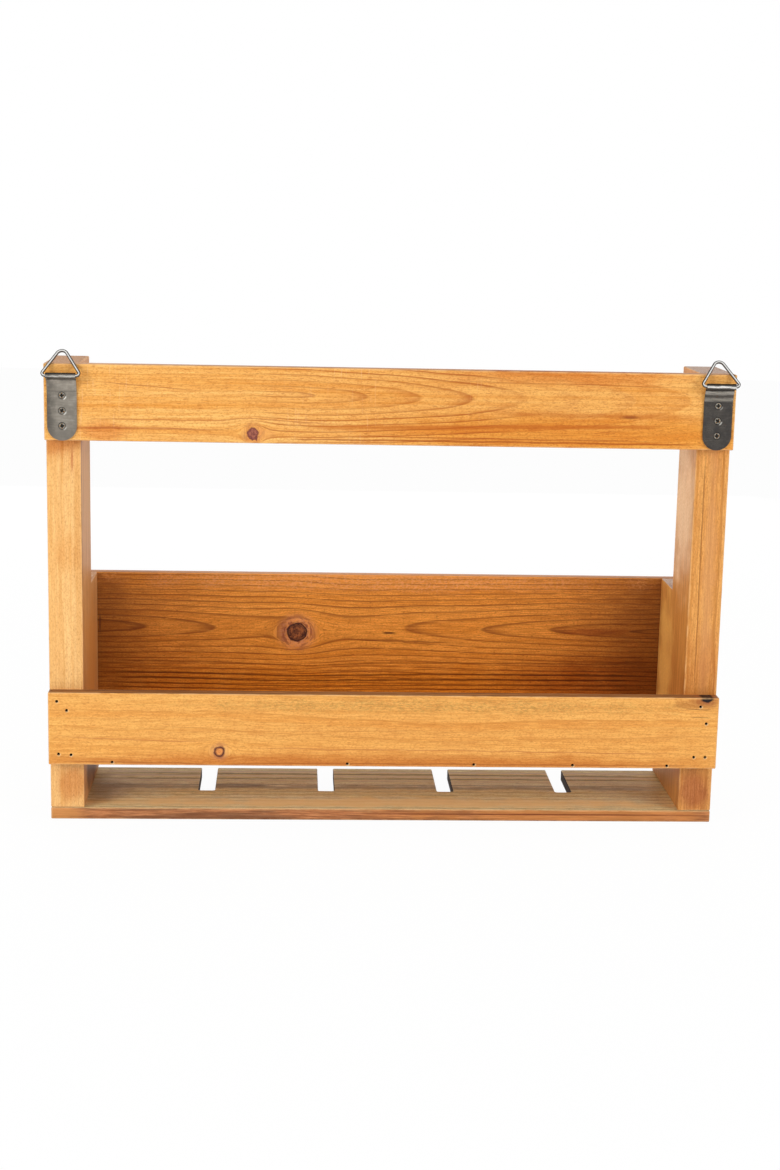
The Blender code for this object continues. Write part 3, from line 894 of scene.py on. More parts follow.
def freeze(piece: Object, name: str) -> Object:
    """Turn an object with modifiers into one plain mesh.

    Args:
        piece: the object, which is removed.
        name: the new piece's name.

    Returns:
        The new object, at the origin, with its place in its mesh.
    """
    bpy.context.view_layer.update()
    graph = bpy.context.evaluated_depsgraph_get()
    mesh = bpy.data.meshes.new_from_object(
        piece.evaluated_get(graph), preserve_all_data_layers=True, depsgraph=graph)
    mesh.transform(piece.matrix_world)
    bpy.data.objects.remove(piece, do_unlink=True)
    mesh.name = name
    return stand(name, mesh)


def head_of(node: str, way: Vector) -> Vector:
    """Middle of a fastener's outer end.

    Args:
        node: the CAD node.
        way: unit vector out of the wood.

    Returns:
        The point.
    """
    low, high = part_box(node)
    return (low + high) / 2 + Vector(a * b for a, b in zip(way, (high - low) / 2))


class GeometryTree(Group):
    """A Geometry Nodes tree that makes a piece from points or a curve."""

    TREE = "GeometryNodeTree"

    def __init__(self, name: str, **sizes: float) -> None:
        """Make the tree's inputs: what it works on, the sizes and the material."""
        super().__init__(name, Geometry="GEOMETRY", **sizes, Surface="MATERIAL")
        self.sizes = sizes

    def cone(self, sides: int, top: Value, bottom: Value, depth: Wire, down: Wire,
             **turn: Value) -> Wire:
        """A cone of two radii and a depth, turned and then moved down its axis."""
        shape = self.graph.out("GeometryNodeMeshCone", at="Mesh", Vertices=sides, Radius_Top=top,
                               Radius_Bottom=bottom, Depth=depth)
        place = self.graph.join(0, 0, down * -1.0)
        return self.graph.out("GeometryNodeTransform", shape, Translation=place, **turn)

    def set_on_points(self, shapes: Sequence[Wire], spin: float) -> Wire:
        """Stand shapes on each point, turned about their own axis at random.

        Args:
            shapes: the shapes, with their Z out of the wood.
            spin: the largest turn to each side, in radians.

        Returns:
            The instances.
        """
        g = self.graph
        joined = g.node("GeometryNodeJoinGeometry")
        for shape in shapes:
            g.feed(joined.inputs[0], shape)
        outward = g.out("GeometryNodeInputNamedAttribute", "outward", data_type="FLOAT_VECTOR")
        aligned = g.out("FunctionNodeAlignRotationToVector", axis="Z", Vector=outward)
        turn = g.node("FunctionNodeRandomValue", data_type="FLOAT", Seed=TURN_SEED)
        for target, value in zip(turn.inputs[2:4], (-spin, spin)):
            g.feed(target, value)
        about = g.out("FunctionNodeAxisAngleToRotation", Angle=Wire(g, turn.outputs[1]))
        both = g.out("FunctionNodeRotateRotation", aligned, about, rotation_space="LOCAL")
        return g.out("GeometryNodeInstanceOnPoints", Points=self.given[0], Rotation=both,
                     Instance=Wire(g, joined.outputs[0]))

    def apply(self, shape: Wire, name: str, carrier: Object,
              surface: Material) -> Object:
        """End the tree in real geometry with its material, and keep it as a plain mesh.

        Args:
            shape: what the tree makes.
            name: the piece's name.
            carrier: the object that holds the points or the curve, which is removed.
            surface: the piece's material.

        Returns:
            The piece.
        """
        real = self.graph.out("GeometryNodeRealizeInstances", shape)
        self.give(Geometry=self.graph.out("GeometryNodeSetMaterial", real, Material=self.given[-1]))
        modifier = tuned(carrier.modifiers.new(name, "NODES"), node_group=self.tree)
        values = {**self.sizes, "Surface": surface}
        for item in self.tree.interface.items_tree:
            label = item.name.replace(" ", "_")
            if item.in_out == "INPUT" and label in values:
                modifier[item.identifier] = values[label]
        return freeze(carrier, name)


def point_carrier(spots: Sequence[tuple[Vector, Vector]]) -> Object:
    """Points that say where each fastener's head is and which way it looks.

    Args:
        spots: for each fastener its head's middle and the way out of the wood.

    Returns:
        The carrier.
    """
    mesh = bpy.data.meshes.new("spots")
    mesh.from_pydata([tuple(place) for place, _ in spots], [], [])
    outward = mesh.attributes.new("outward", "FLOAT_VECTOR", "POINT")
    for item, (_, way) in zip(outward.data, spots):
        item.vector = way
    return stand("spots", mesh)


@dataclass
class BradSet:
    """The brads that hold the boards together. Sizes are in metres."""

    shank: float = 1.2 * MM
    length: float = 28 * MM
    tip: float = 1.6 * MM
    head: float = 1.8 * MM
    head_height: float = 0.8 * MM
    head_taper: float = 0.86
    head_sides: int = 16
    shank_sides: int = 12

    def build(self, surface: Material) -> None:
        """Set every brad of the frame: round head, shank and point.

        Args:
            surface: the brads' material.
        """
        made = GeometryTree("set_brads", Shank=self.shank / 2, Length=self.length, Tip=self.tip,
                            Head=self.head / 2, Head_Height=self.head_height)
        _, _, shank, length, tip, head, head_height, _ = made.open()
        body = length - (tip + head_height)
        drop = body + head_height
        parts = (
            made.cone(self.head_sides, head * self.head_taper, head, head_height, head_height),
            made.cone(self.shank_sides, shank, shank, body, drop),
            made.cone(self.shank_sides, 0.0, shank, tip, drop, Rotation=(math.pi, 0, 0)),
        )
        nodes = {name: Vector(way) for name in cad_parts
                 for stem, way in BRAD_WAYS.items() if name.startswith(stem)}
        spots = [(head_of(name, way), way) for name, way in nodes.items()]
        shape = made.set_on_points(parts, math.pi)
        brads = made.apply(shape, "brads", point_carrier(spots), surface)
        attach(brads, "rack")
        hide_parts(*nodes)
        LOG.info("built brads: %d in their holes", len(spots))


@dataclass
class StrapHanger:
    """A bent strap with its loose triangle ring and three screws. Sizes are in metres."""

    side: Side
    steel: SteelFinish
    centre: float = 240.8 * MM
    width: float = 21.5 * MM
    thickness: float = 0.8 * MM
    plate_y: float = 60.45 * MM
    loop_y: float = 67.75 * MM
    loop_z: float = 339.8 * MM
    loop_radius: float = 1.81 * MM
    crease_drop: float = 11.5 * MM
    end_z: float = 292.0 * MM
    curl: float = math.radians(275)
    edge: float = 0.12 * MM
    wire: float = 1.19 * MM
    ring_side: float = 29.60 * MM
    apex_radius: float = 4.0 * MM
    foot_radius: float = 2.2 * MM
    lean: float = math.radians(38.15)
    screw_head: float = 4.5 * MM
    screw_shank: float = 2.5 * MM
    screw_length: float = 16 * MM
    head_height: float = 1.0 * MM
    recess: float = 1.85 * MM
    slot: float = 1.3 * MM
    seat_gap: float = 0.35 * MM
    neck_bow: float = 0.45 * MM
    bend: float = 0.6 * MM
    bend_sag: float = 0.12
    bevel_angle: float = math.radians(50)
    crease_angle: float = math.radians(35)
    cut_above: float = 0.4 * MM
    cut_below: float = 1.4 * MM
    least_cut: float = 0.3 * MM
    columns: int = 16
    end_steps: int = 14
    plate_steps: int = 12
    curl_steps: int = 48
    wire_sides: int = 20
    bend_steps: int = 12
    head_sides: int = 32
    thread_sides: int = 20

    @property
    def x(self) -> float:
        """The hanger's middle along X."""
        return self.side.value * self.centre

    @property
    def seats(self) -> dict[str, Vector]:
        """The CAD screws of this hanger, with the middles of their heads."""
        names = [f"{self.side.word}_strap_screw_{number}" for number in (1, 2, 3)]
        return {name: head_of(name, TO_WALL) for name in names}

    def path(self) -> list[tuple[float, float]]:
        """The strap's middle line seen from the side.

        Returns:
            (Y, Z) points from the round lower end up the plate, along the neck and round the curl.
        """
        offset = self.plate_y - self.loop_y
        reach = math.hypot(offset, self.crease_drop)
        kick = math.atan2(-offset, self.crease_drop) - math.asin(self.loop_radius / reach)
        turns = [math.pi - kick - self.curl * step / self.curl_steps
                 for step in range(self.curl_steps + 1)]
        arc = [(self.loop_y + self.loop_radius * math.cos(turn),
                self.loop_z + self.loop_radius * math.sin(turn)) for turn in turns]
        radius = self.width / 2
        crease = self.loop_z - self.crease_drop
        level = self.end_z + radius
        heights = [self.end_z + radius * (1 - math.cos(step * math.pi / 2 / self.end_steps))
                   for step in range(self.end_steps + 1)]
        heights += [level + (crease - level) * step / self.plate_steps
                    for step in range(1, self.plate_steps)]
        points = [(self.plate_y, height) for height in heights]
        up = (arc[0][0] - self.plate_y, arc[0][1] - crease)
        long = math.hypot(*up)
        for step in (-1.0, -0.5, 0.0):
            sag = self.bend_sag * self.bend * (1 + step)
            points.append((self.plate_y + sag, crease + self.bend * step))
        for step in (0.5, 1.0):
            share = self.bend * step / long
            points.append((self.plate_y + up[0] * share, crease + up[1] * share))
        for share in (0.2, 0.3, 0.4, 0.5, 0.6, 0.7, 0.8):
            bow = self.neck_bow * math.sin(math.pi * share) ** 2 / long
            points.append((self.plate_y + up[0] * share - bow * up[1],
                           crease + up[1] * share + bow * up[0]))
        return points + arc

    def strap(self, surface: Material) -> Object:
        """The bent strap, with its countersunk holes and softened edges.

        Args:
            surface: its material.

        Returns:
            The piece.
        """
        shape = bmesh.new()
        radius = self.width / 2
        rows = []
        for y, z in self.path():
            low = max(0.0, radius - (z - self.end_z)) if y < self.plate_y + WELD else 0.0
            half = math.sqrt(max(radius ** 2 - low ** 2, 0.0))
            rows.append([
                shape.verts.new((self.x + half * (2 * column / self.columns - 1), y, z))
                for column in range(self.columns + 1)
            ])
        for lower, upper in zip(rows, rows[1:]):
            for a in range(self.columns):
                shape.faces.new((lower[a + 1], lower[a], upper[a], upper[a + 1]))
        bmesh.ops.remove_doubles(shape, verts=shape.verts, dist=WELD)
        bmesh.ops.recalc_face_normals(shape, faces=shape.faces)
        piece = stand("strap", mesh_of(shape, "strap"))
        paint(piece.data, surface)
        cutters = self.countersinks()
        for name, kind, settings in (
            ("sheet", "SOLIDIFY", {"thickness": self.thickness, "offset": 0.0,
                                   "use_even_offset": True}),
            ("countersinks", "BOOLEAN", {"operation": "DIFFERENCE", "solver": "EXACT",
                                         "object": cutters}),
            ("sheared_edge", "BEVEL", {"width": self.edge, "segments": 2, "limit_method": "ANGLE",
                                       "angle_limit": self.bevel_angle}),
        ):
            tuned(piece.modifiers.new(name, kind), **settings)
        made = freeze(piece, f"{self.side.word}_strap")
        bpy.data.objects.remove(cutters, do_unlink=True)
        made.data.shade_smooth()
        made.data.set_sharp_from_angle(angle=self.crease_angle)
        return made

    def countersinks(self) -> Object:
        """Cones that cut the screws' seats.

        Returns:
            A hidden cutter.
        """
        shape = bmesh.new()
        slope = (self.screw_head - self.screw_shank) / 2 / self.head_height
        mouth = self.screw_head / 2 + self.seat_gap
        above = self.cut_above
        below = self.cut_below
        for head in self.seats.values():
            middle = head + TO_WALL * (above - below) / 2
            place = Matrix.Translation(middle) @ Matrix.Rotation(-math.pi / 2, 4, "X")
            bmesh.ops.create_cone(
                shape, cap_ends=True, segments=self.head_sides, matrix=place,
                radius1=max(mouth - slope * below, self.least_cut),
                radius2=mouth + slope * above, depth=above + below)
        bmesh.ops.recalc_face_normals(shape, faces=shape.faces)
        return tuned(stand("countersinks", mesh_of(shape, "countersinks")), hide_render=True)

    def ring(self, surface: Material) -> Object:
        """The triangle ring: three straight runs of wire and three bends.

        Args:
            surface: its material.

        Returns:
            The piece.
        """
        curve = tuned(bpy.data.curves.new("ring_line", "CURVE"), dimensions="3D")
        line = curve.splines.new("POLY")
        line.points.add(2)
        half = self.ring_side / 2
        corners = ((-half, 0.0), (0.0, half * math.sqrt(3)), (half, 0.0))
        for point, (x, z) in zip(line.points, corners):
            point.co = (x, 0.0, z, 1.0)
        line.use_cyclic_u = True
        carrier = stand("ring_line", curve)
        loop = Matrix.Translation((self.x, self.loop_y, self.loop_z))
        carrier.matrix_world = loop @ Matrix.Rotation(self.lean, 4, "X")
        made = GeometryTree(f"bend_{self.side.word}_ring", Wire=self.wire,
                            Apex_Radius=self.apex_radius, Foot_Radius=self.foot_radius)
        g, path, wire, apex_radius, foot_radius, _ = made.open()
        apex = g.math("COMPARE", g.out("GeometryNodeInputIndex"), 1.0, 0.1)
        radius = apex.scaled(apex_radius - foot_radius, foot_radius)
        fillet = g.out("GeometryNodeFilletCurve", mode="POLY", Curve=path, Radius=radius,
                       Count=self.bend_steps)
        circle = g.out("GeometryNodeCurvePrimitiveCircle", at="Curve", Resolution=self.wire_sides,
                       Radius=wire)
        tube = g.out("GeometryNodeCurveToMesh", Curve=fillet, Profile_Curve=circle)
        ring = made.apply(tube, f"{self.side.word}_ring", carrier, surface)
        ring.data.shade_smooth()
        return ring

    def screws(self, surface: Material) -> Object:
        """The three countersunk cross-recess screws.

        Args:
            surface: their material.

        Returns:
            One piece with all three.
        """
        made = GeometryTree(
            f"drive_{self.side.word}_screws", Head=self.screw_head / 2,
            Shank=self.screw_shank / 2, Length=self.screw_length, Head_Height=self.head_height,
            Recess=self.recess, Slot=self.slot)
        g, _, head, shank, length, head_height, recess, slot, _ = made.open()
        long = recess * 2.0
        deep = head_height * 1.8
        blank = made.cone(self.head_sides, head, shank, head_height, head_height)
        recessed = g.node("GeometryNodeMeshBoolean", blank, operation="DIFFERENCE", solver="EXACT")
        for size in ((long, slot), (slot, long)):
            bar = g.out("GeometryNodeMeshCube", at="Mesh", Size=g.join(*size, deep))
            g.feed(recessed.inputs[1], bar)
        thread = made.cone(self.thread_sides, shank, shank * 0.25, length - head_height, length)
        shape = made.set_on_points((Wire(g, recessed.outputs[0]), thread), math.pi / 3)
        spots = [(head, TO_WALL) for head in self.seats.values()]
        return made.apply(shape, f"{self.side.word}_screws", point_carrier(spots), surface)

    def build(self, ring_steel: Material, screw_steel: Material) -> None:
        """Build the hanger's pieces and put them on their bodies.

        Args:
            ring_steel: the ring's material.
            screw_steel: the screws' material.
        """
        word = self.side.word
        seats = self.seats
        strap = self.strap(self.steel.build(f"{word}_strap_steel", list(seats.values())))
        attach(strap, "rack")
        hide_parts(f"{word}_hanger_strap")
        ring = self.ring(ring_steel)
        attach(ring, f"{word}_ring")
        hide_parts(f"{word}_hanger_ring")
        screws = self.screws(screw_steel)
        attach(screws, "rack")
        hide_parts(*seats)
        for piece in (strap, ring, screws):
            LOG.info("built %s: %d faces", piece.name, len(piece.data.polygons))


# Boards

TOP_RAIL = WoodFinish(
    pale=shade(250, 196, 113), gold=shade(231, 156, 66), dark=shade(168, 76, 18),
    edge_colour=shade(214, 158, 118), edge_dark=shade(150, 98, 66), edge_share=0.8,
    grain=Grain.RAIL, face=59.75, pith_across=327.5, pith_depth=33, taper=0.10, taper_centre=-245,
    least_depth=1.5, ring_width=3.9, wander=2, contrast=0.5, calm=0.78, calm_middle=8,
    calm_start=70, calm_end=108, line_share=1, saw_share=0.25, fibre_share=0.28, bright_share=0.34,
    speck_share=0.42, seed=2,
    knots=(
        Knot(102, 298.9, 4.4, 5.6, 0.9, shade(112, 58, 54), shade(166, 98, 76),
             shade(206, 122, 70), 0.5, shade(118, 60, 50), 0.2, 1.4),
    ),
    seams=(
        Seam(317.3, 0.6, 0.084, 130, 236, 40, 0.5, 0.5, shade(170, 84, 40)),
        Seam(315.4, 1.5, 0, -186, -166, 8, 0.4, 0.85, shade(120, 58, 24)),
        Seam(340.5, 0.8, 0.012, -236, -20, 60, 0.8, 0.5, shade(180, 96, 40)),
        Seam(307, 0.9, 0.006, 30, 225, 30, 1.2, 0.55, shade(178, 92, 36)),
        Seam(301.5, 1.2, 0, 120, 250, 30, 1.6, 0.6, shade(170, 84, 34)),
        Seam(305.2, 2.4, -0.016, -210, 72, 30, 0.9, 0.65, shade(196, 110, 34)),
        Seam(295.6, 0.9, 0, -230, 80, 20, 0.8, 0.7, shade(164, 82, 26)),
        Seam(298.2, 0.8, 0.004, -200, 50, 40, 0.8, 0.6, shade(176, 92, 30)),
        Seam(317, 2.6, 0.006, -236, -60, 40, 2.2, 0.45, shade(192, 108, 40)),
    ),
    patches=(
        Patch((94, 299, 60), (11, 5, 20), shade(232, 164, 98), 0.5, Cover.VEIL, 0.5, 0.7),
        Patch((-140, 302, 60), (210, 20, 30), (0.90, 0.71, 0.37), 0.92, ragged=0.3),
        Patch((-140, 345, 60), (110, 7, 30), (0.84, 0.60, 0.40), 0.8),
        Patch((-90, 325, 60), (190, 40, 30), (0.92, 0.84, 0.74), 0.85, ragged=0.3),
        Patch((212, 300, 60), (26, 9, 30), (0.84, 0.62, 0.5), 0.8),
    ),
)
LOWER_RAIL = WoodFinish(
    pale=shade(247, 188, 102), gold=shade(234, 162, 76), dark=shade(186, 106, 40),
    # Its top and bottom faces are darker: partly a darker stain, partly painted shade on the top
    # face.
    edge_colour=shade(156, 102, 60), edge_dark=shade(96, 56, 30), edge_share=0.9, grain=Grain.RAIL,
    face=59.75, pith_across=38, pith_depth=46, taper=0.03, taper_centre=-60, ring_width=4.6,
    wander=3.6, contrast=0.85, line_share=0.55, speck_share=0.5, seed=5,
    knots=(
        Knot(125.6, 57.4, 3.5, 4.8, 1, shade(208, 130, 66), shade(232, 154, 84),
             shade(196, 122, 96), 0.45, shade(84, 38, 34), 0.42, 0.5),
        # Near-black knot with a dark rim: painted shade standing for the hollow of a knot hole.
        Knot(-244.9, 101.6, 2.2, 4.6, 1.7, shade(20, 13, 15), shade(44, 30, 30),
             shade(150, 82, 44), 0.6, shade(22, 14, 14), 0.5, 0.8),
    ),
    seams=(
        Seam(59, 0.8, 0.037, 128, 250, 30, 0.6, 0.5, shade(190, 104, 52)),
        Seam(59.5, 0.9, 0.006, -235, 110, 50, 1.6, 0.5, shade(192, 104, 52)),
        Seam(48.8, 0.9, 0, -240, 250, 20, 0.6, 0.5, shade(170, 98, 46)),
        Seam(74.5, 0.7, -0.02, -40, 180, 40, 1.4, 0.35, shade(200, 122, 56)),
        Seam(98.5, 0.5, 0.012, -249, -228, 4, 0.8, 0.7, shade(96, 48, 26)),
        Seam(95.4, 0.5, 0.03, -249, -232, 4, 0.8, 0.6, shade(96, 48, 26)),
    ),
    patches=(
        Patch((-40, 94, 59), (235, 7, 30), shade(150, 112, 52), 0.42, Cover.VEIL, 0.7, 1.3),
        Patch((0, 49, 59), (300, 10, 30), (0.77, 0.58, 0.43), 0.95, ragged=0.4),
        Patch((-90, 72, 59), (200, 16, 30), (0.95, 0.88, 0.80), 0.8),
        Patch((-236, 97.5, 60), (18, 5, 30), (0.62, 0.5, 0.44), 0.75),
    ),
)
FRONT_BOARD = WoodFinish(
    pale=shade(242, 162, 68), gold=shade(218, 134, 42), dark=shade(108, 45, 12),
    edge_colour=shade(196, 150, 116), edge_dark=shade(168, 116, 84), edge_share=0.85,
    worn_colour=shade(226, 150, 84), grain=Grain.RAIL, face=-60.85, pith_across=127.5,
    pith_depth=17.8, taper=0.066, taper_centre=25.6, ring_width=4, wander=2, contrast=0.3,
    line_share=1, seed=9, fibre_share=0.5, bright_share=0.5, speck_share=0.42,
    knots=(
        Knot(67.7, 123.8, 7.2, 10, 1.05, shade(66, 32, 22), shade(154, 90, 50),
             shade(206, 140, 108), 0.6, shade(46, 22, 18), 0.16, 0.3,
             shade(132, 68, 46), 0.9),
    ),
    seams=(
        Seam(123.8, 1.1, 0, -14, 0, 5, 0.1, 0.85, shade(60, 26, 10)),
        Seam(118, 0.9, 0.03, -70, 30, 25, 1.6, 0.6, shade(110, 52, 14)),
        Seam(99.5, 1, 0, -225, 225, 30, 1, 0.55, shade(112, 56, 14)),
        Seam(94, 0.7, 0.004, -225, 225, 30, 1, 0.5, shade(112, 56, 14)),
        Seam(90, 1.1, 0, -225, 225, 30, 1, 0.75, shade(92, 46, 12)),
        Seam(85.5, 1.2, 0, -225, 225, 30, 1.2, 0.75, shade(92, 46, 12)),
        Seam(81, 0.9, 0, -225, 225, 30, 0.8, 0.65, shade(92, 46, 12)),
        Seam(77.5, 0.8, 0, -225, 225, 30, 0.8, 0.6, shade(96, 42, 8)),
    ),
    patches=(
        # The first three patches are painted shade: the inner face darker towards both ends, where
        # the side boards shade it, and low towards the -X end.
        Patch((262, 120, -60.6), (90, 140, 5), (0.40, 0.36, 0.34), 0.9, ragged=0.12),
        Patch((-266, 115, -60.6), (115, 140, 5), (0.34, 0.29, 0.27), 0.92, ragged=0.12),
        Patch((-190, 84, -60.6), (110, 26, 5), (0.70, 0.56, 0.50), 0.85, ragged=0.2),
        Patch((0, 167, -60), (260, 11, 30), shade(232, 160, 98), 0.55, Cover.VEIL, 0.7),
        Patch((0, 80, -60), (260, 18, 30), (0.83, 0.70, 0.33), 0.8),
        Patch((-172, 126.3, -60.6), (36, 4.2, 5), (0.62, 0.44, 0.42), 0.75, ragged=0.3),
        Patch((226.7, 130, -60.6), (1.1, 10, 5), shade(84, 40, 16), 0.7, Cover.VEIL),
    ),
)
RIGHT_SIDE = WoodFinish(
    pale=shade(249, 203, 136), gold=shade(240, 180, 104), dark=shade(186, 110, 50),
    edge_colour=shade(214, 156, 98), edge_dark=shade(178, 116, 64), edge_share=0.8,
    grain=Grain.UPRIGHT, face=48.45, pith_across=300, pith_depth=120, taper=0, ring_width=4.2,
    wander=3, contrast=0.8, line_share=0.2, fibre_share=0.26, bright_share=0.36, speck_share=0.44,
    seed=12,
    seams=(
        Seam(235.3, 1.6, 0, 262, 290, 12, 0.5, 0.6, shade(186, 92, 44)),
    ),
    patches=(
        Patch((210, 231.5, 48), (120, 4.5, 20), (0.84, 0.72, 0.58), 0.6),
        Patch((291, 241, 48), (17, 24, 20), (0.70, 0.46, 0.28), 0.85),
        Patch((208, 237, 48), (18, 14, 14), (0.90, 0.76, 0.60), 0.6),
        Patch((28, 236, 48), (22, 14, 14), (0.80, 0.60, 0.46), 0.9),
        # Paler upper inner face above the front board: partly the wood's tone, partly painted light
        # and sheen where light from the front reaches it.
        Patch((250, 228, 10), (70, 2, 45), shade(206, 152, 90), 0.8, Cover.VEIL, 0.3),
        Patch((250, 228, 46.6), (110, 3, 1.8), shade(112, 62, 34), 0.85, Cover.VEIL, ragged=0.2),
        Patch((250, 228, 35), (90, 3, 1), shade(128, 84, 54), 0.7, Cover.VEIL, ragged=0.2),
        Patch((110, 228, -10), (60, 2, 55), shade(214, 146, 72), 0.7, Cover.VEIL),
        # Darker foot on the inner face, between the shelves: partly stain, partly painted shade.
        Patch((28, 228, -10), (24, 2, 60), (0.33, 0.25, 0.15), 0.92),
    ),
)
LEFT_SIDE = WoodFinish(
    pale=shade(234, 172, 96), gold=shade(214, 140, 62), dark=shade(150, 80, 30),
    end_colour=shade(194, 180, 170), edge_colour=shade(226, 158, 80),
    edge_dark=shade(188, 120, 52), edge_share=0.8, grain=Grain.UPRIGHT, face=48.45,
    pith_across=-190, pith_depth=120, taper=0, ring_width=4, wander=2.6, contrast=0.8,
    line_share=0.45, seed=15,
    seams=(
        Seam(-236.9, 0.7, 0.0035, 100, 292, 30, 0.5, 0.65, shade(140, 76, 30)),
        Seam(-243, 1.2, 0, 90, 292, 30, 1, 0.3, shade(180, 104, 50)),
    ),
    patches=(
        Patch((190, -243, 48), (150, 6, 20), shade(212, 150, 96), 0.45, Cover.VEIL),
        Patch((24, -241, 48), (24, 20, 14), (0.64, 0.47, 0.54), 0.95),
        Patch((100, -241, 48), (60, 20, 14), (0.84, 0.71, 0.58), 0.8),
        # Pale upper inner face above the front board: partly the wood's tone, partly painted light
        # and sheen where light from the front reaches it.
        Patch((250, -228, 10), (85, 2, 55), shade(254, 212, 160), 0.88, Cover.VEIL, 0.3),
        Patch((100, -228, -34), (85, 2, 38), shade(255, 200, 106), 0.92, Cover.VEIL, 0.2),
        Patch((28, -228, -10), (24, 2, 60), shade(212, 156, 84), 0.5, Cover.VEIL),
    ),
)
BOTTLE_SHELF = WoodFinish(
    pale=shade(224, 150, 78), gold=shade(198, 120, 54), dark=shade(116, 60, 24),
    edge_colour=shade(196, 122, 70), edge_share=0.5, grain=Grain.SHELF, face=53, pith_across=-10,
    pith_depth=60, taper=0.08, taper_centre=40, ring_width=3.8, wander=4, seed=18,
)
GLASS_SHELF = WoodFinish(
    pale=shade(255, 246, 198), gold=shade(255, 222, 150), dark=shade(112, 74, 38),
    edge_colour=shade(206, 124, 70), edge_dark=shade(124, 58, 30), edge_share=0.9,
    grain=Grain.SHELF, face=9, pith_across=-150, pith_depth=90, taper=0.02, ring_width=7.5,
    wander=3, contrast=0.8, line_share=0.85, fibre_length=80, fibre_width=4, fibre_share=0.75,
    bright_share=0.6, burnt_within=248, roughness=0.6, seed=21, nail_colour=shade(34, 22, 16),
    seams=(
        Seam(44.6, 0.8, 0, -245, 250, 20, 0.4, 0.5, shade(120, 70, 44)),
        # A wide dark band across the middle of the top: partly the wood's tone, partly painted
        # shade under the bottle shelf.
        Seam(-8, 6, 0, -230, 235, 40, 5, 0.45, shade(112, 78, 48)),
        Seam(-14, 1.2, 0.004, -230, 235, 40, 3, 0.5, shade(70, 50, 34)),
        Seam(-26, 2.4, 0.002, -235, 235, 30, 1.6, 0.55, shade(226, 200, 168)),
        Seam(-31, 2.4, 0.006, -235, 235, 60, 3, 0.5, shade(104, 72, 44)),
        Seam(-38, 2.8, -0.003, -235, 235, 30, 1.6, 0.85, shade(232, 208, 178)),
        Seam(-44, 2.6, -0.006, -235, 235, 60, 3, 0.5, shade(104, 72, 44)),
        Seam(-50, 2.8, 0.002, -235, 235, 30, 1.6, 0.8, shade(232, 208, 178)),
    ),
    patches=(
        Patch((0, 32, 9), (300, 15, 10), shade(255, 212, 138), 0.8, Cover.VEIL),
        Patch((0, 4, 9), (300, 17, 10), (1, 0.93, 0.68), 0.85),
        Patch((0, -36, 9), (300, 22, 10), (1, 0.99, 0.84), 0.9),
        Patch((222, -4, 9), (26, 46, 10), (0.58, 0.50, 0.44), 0.8),
        Patch((112, -12, 9), (26, 8, 10), (0.60, 0.52, 0.46), 0.8),
        Patch((150, 48.4, 5), (110, 0.8, 8), (0.88, 0.92, 0.98), 0.9),
        Patch((246, 48.4, 5), (20, 0.8, 8), shade(216, 150, 84), 0.7, Cover.VEIL),
        Patch((-150, 48.4, 5), (170, 0.8, 8), shade(214, 140, 72), 0.6, Cover.VEIL),
        Patch((-110, 48.4, 5.4), (200, 3, 0.8), shade(112, 50, 26), 0.8, Cover.VEIL, ragged=0.3),
        Patch((0, 48.4, 0.6), (300, 3, 0.7), shade(96, 48, 26), 0.6, Cover.VEIL, ragged=0.3),
    ),
)


@dataclass(frozen=True)
class Board:
    """A board of the rack: its CAD node, its finish and the start of its brads' names."""

    node: str
    finish: WoodFinish
    brads: Optional[str] = None

    def build(self) -> None:
        """Dress the board."""
        nails = [head_of(name, Vector(BRAD_WAYS[self.brads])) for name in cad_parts
                 if self.brads is not None and name.startswith(self.brads)]
        surface = self.finish.build(f"{self.node}_grain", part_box(self.node), nails)
        paint(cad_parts[self.node].data, surface)
        LOG.info("dressed %s in %s", self.node, surface.name)


BOARDS = (
    Board("top_back_rail", TOP_RAIL, "top_rail_brad"),
    Board("lower_back_rail", LOWER_RAIL, "lower_rail_brad"),
    Board("front_board", FRONT_BOARD, "front_board_brad"),
    Board("right_side_board", RIGHT_SIDE),
    Board("left_side_board", LEFT_SIDE),
    Board("bottle_shelf", BOTTLE_SHELF),
    Board("glass_shelf", GLASS_SHELF, "glass_shelf_brad"),
)


# Steel

PLATED_RING = SteelFinish(
    shade(246, 244, 240), shade(222, 220, 216), 0.11, 2.0, 0.05,
    # The flank paints dark outlines along the ring wire's sides.
    flank=Flank(shade(56, 53, 50), StrapHanger.loop_y / MM, StrapHanger.loop_z / MM,
                StrapHanger.lean),
)
# Its face is the heads' outer plane, and the recess below it gets painted shade.
ZINC_SCREW = SteelFinish(
    shade(190, 184, 172), shade(128, 120, 108), 0.26, 3.0, 0.1, face=60.73)
DARK_BRAD = SteelFinish(shade(34, 24, 18), shade(22, 15, 12), 0.6, 3.0, 0.1)
# Painted shade on the curl round its highlight, and painted shadow under the curl.
CURL_SHADE = shade(94, 90, 86)
SHADOW = shade(40, 37, 34)
GREY_STRAP = SteelFinish(
    shade(173, 165, 153), shade(132, 126, 117), 0.32, 1.5, 0.2, 0.7, seed=3.0,
    shaded_side=(251.5, 243.0, 0.5), glint_shares=(0.9, 0.8, 0.5),
    bands=(
        # Painted light: the curl darker round a painted highlight streak, a painted shadow under
        # the curl and painted shade at the crease; the lower end is darker.
        Band(337.5, 346.0, CURL_SHADE, 0.9, 0.10),
        Band(339.1, 340.2, shade(232, 228, 220), 0.9, 0.06, 0.25),
        Band(336.4, 337.6, SHADOW, 0.8, 0.0, 0.4),
        Band(327.6, 328.5, shade(104, 98, 90), 0.5),
        Band(291.0, 300.0, shade(124, 118, 110), 0.6, 0.0, 3.0),
    ),
)
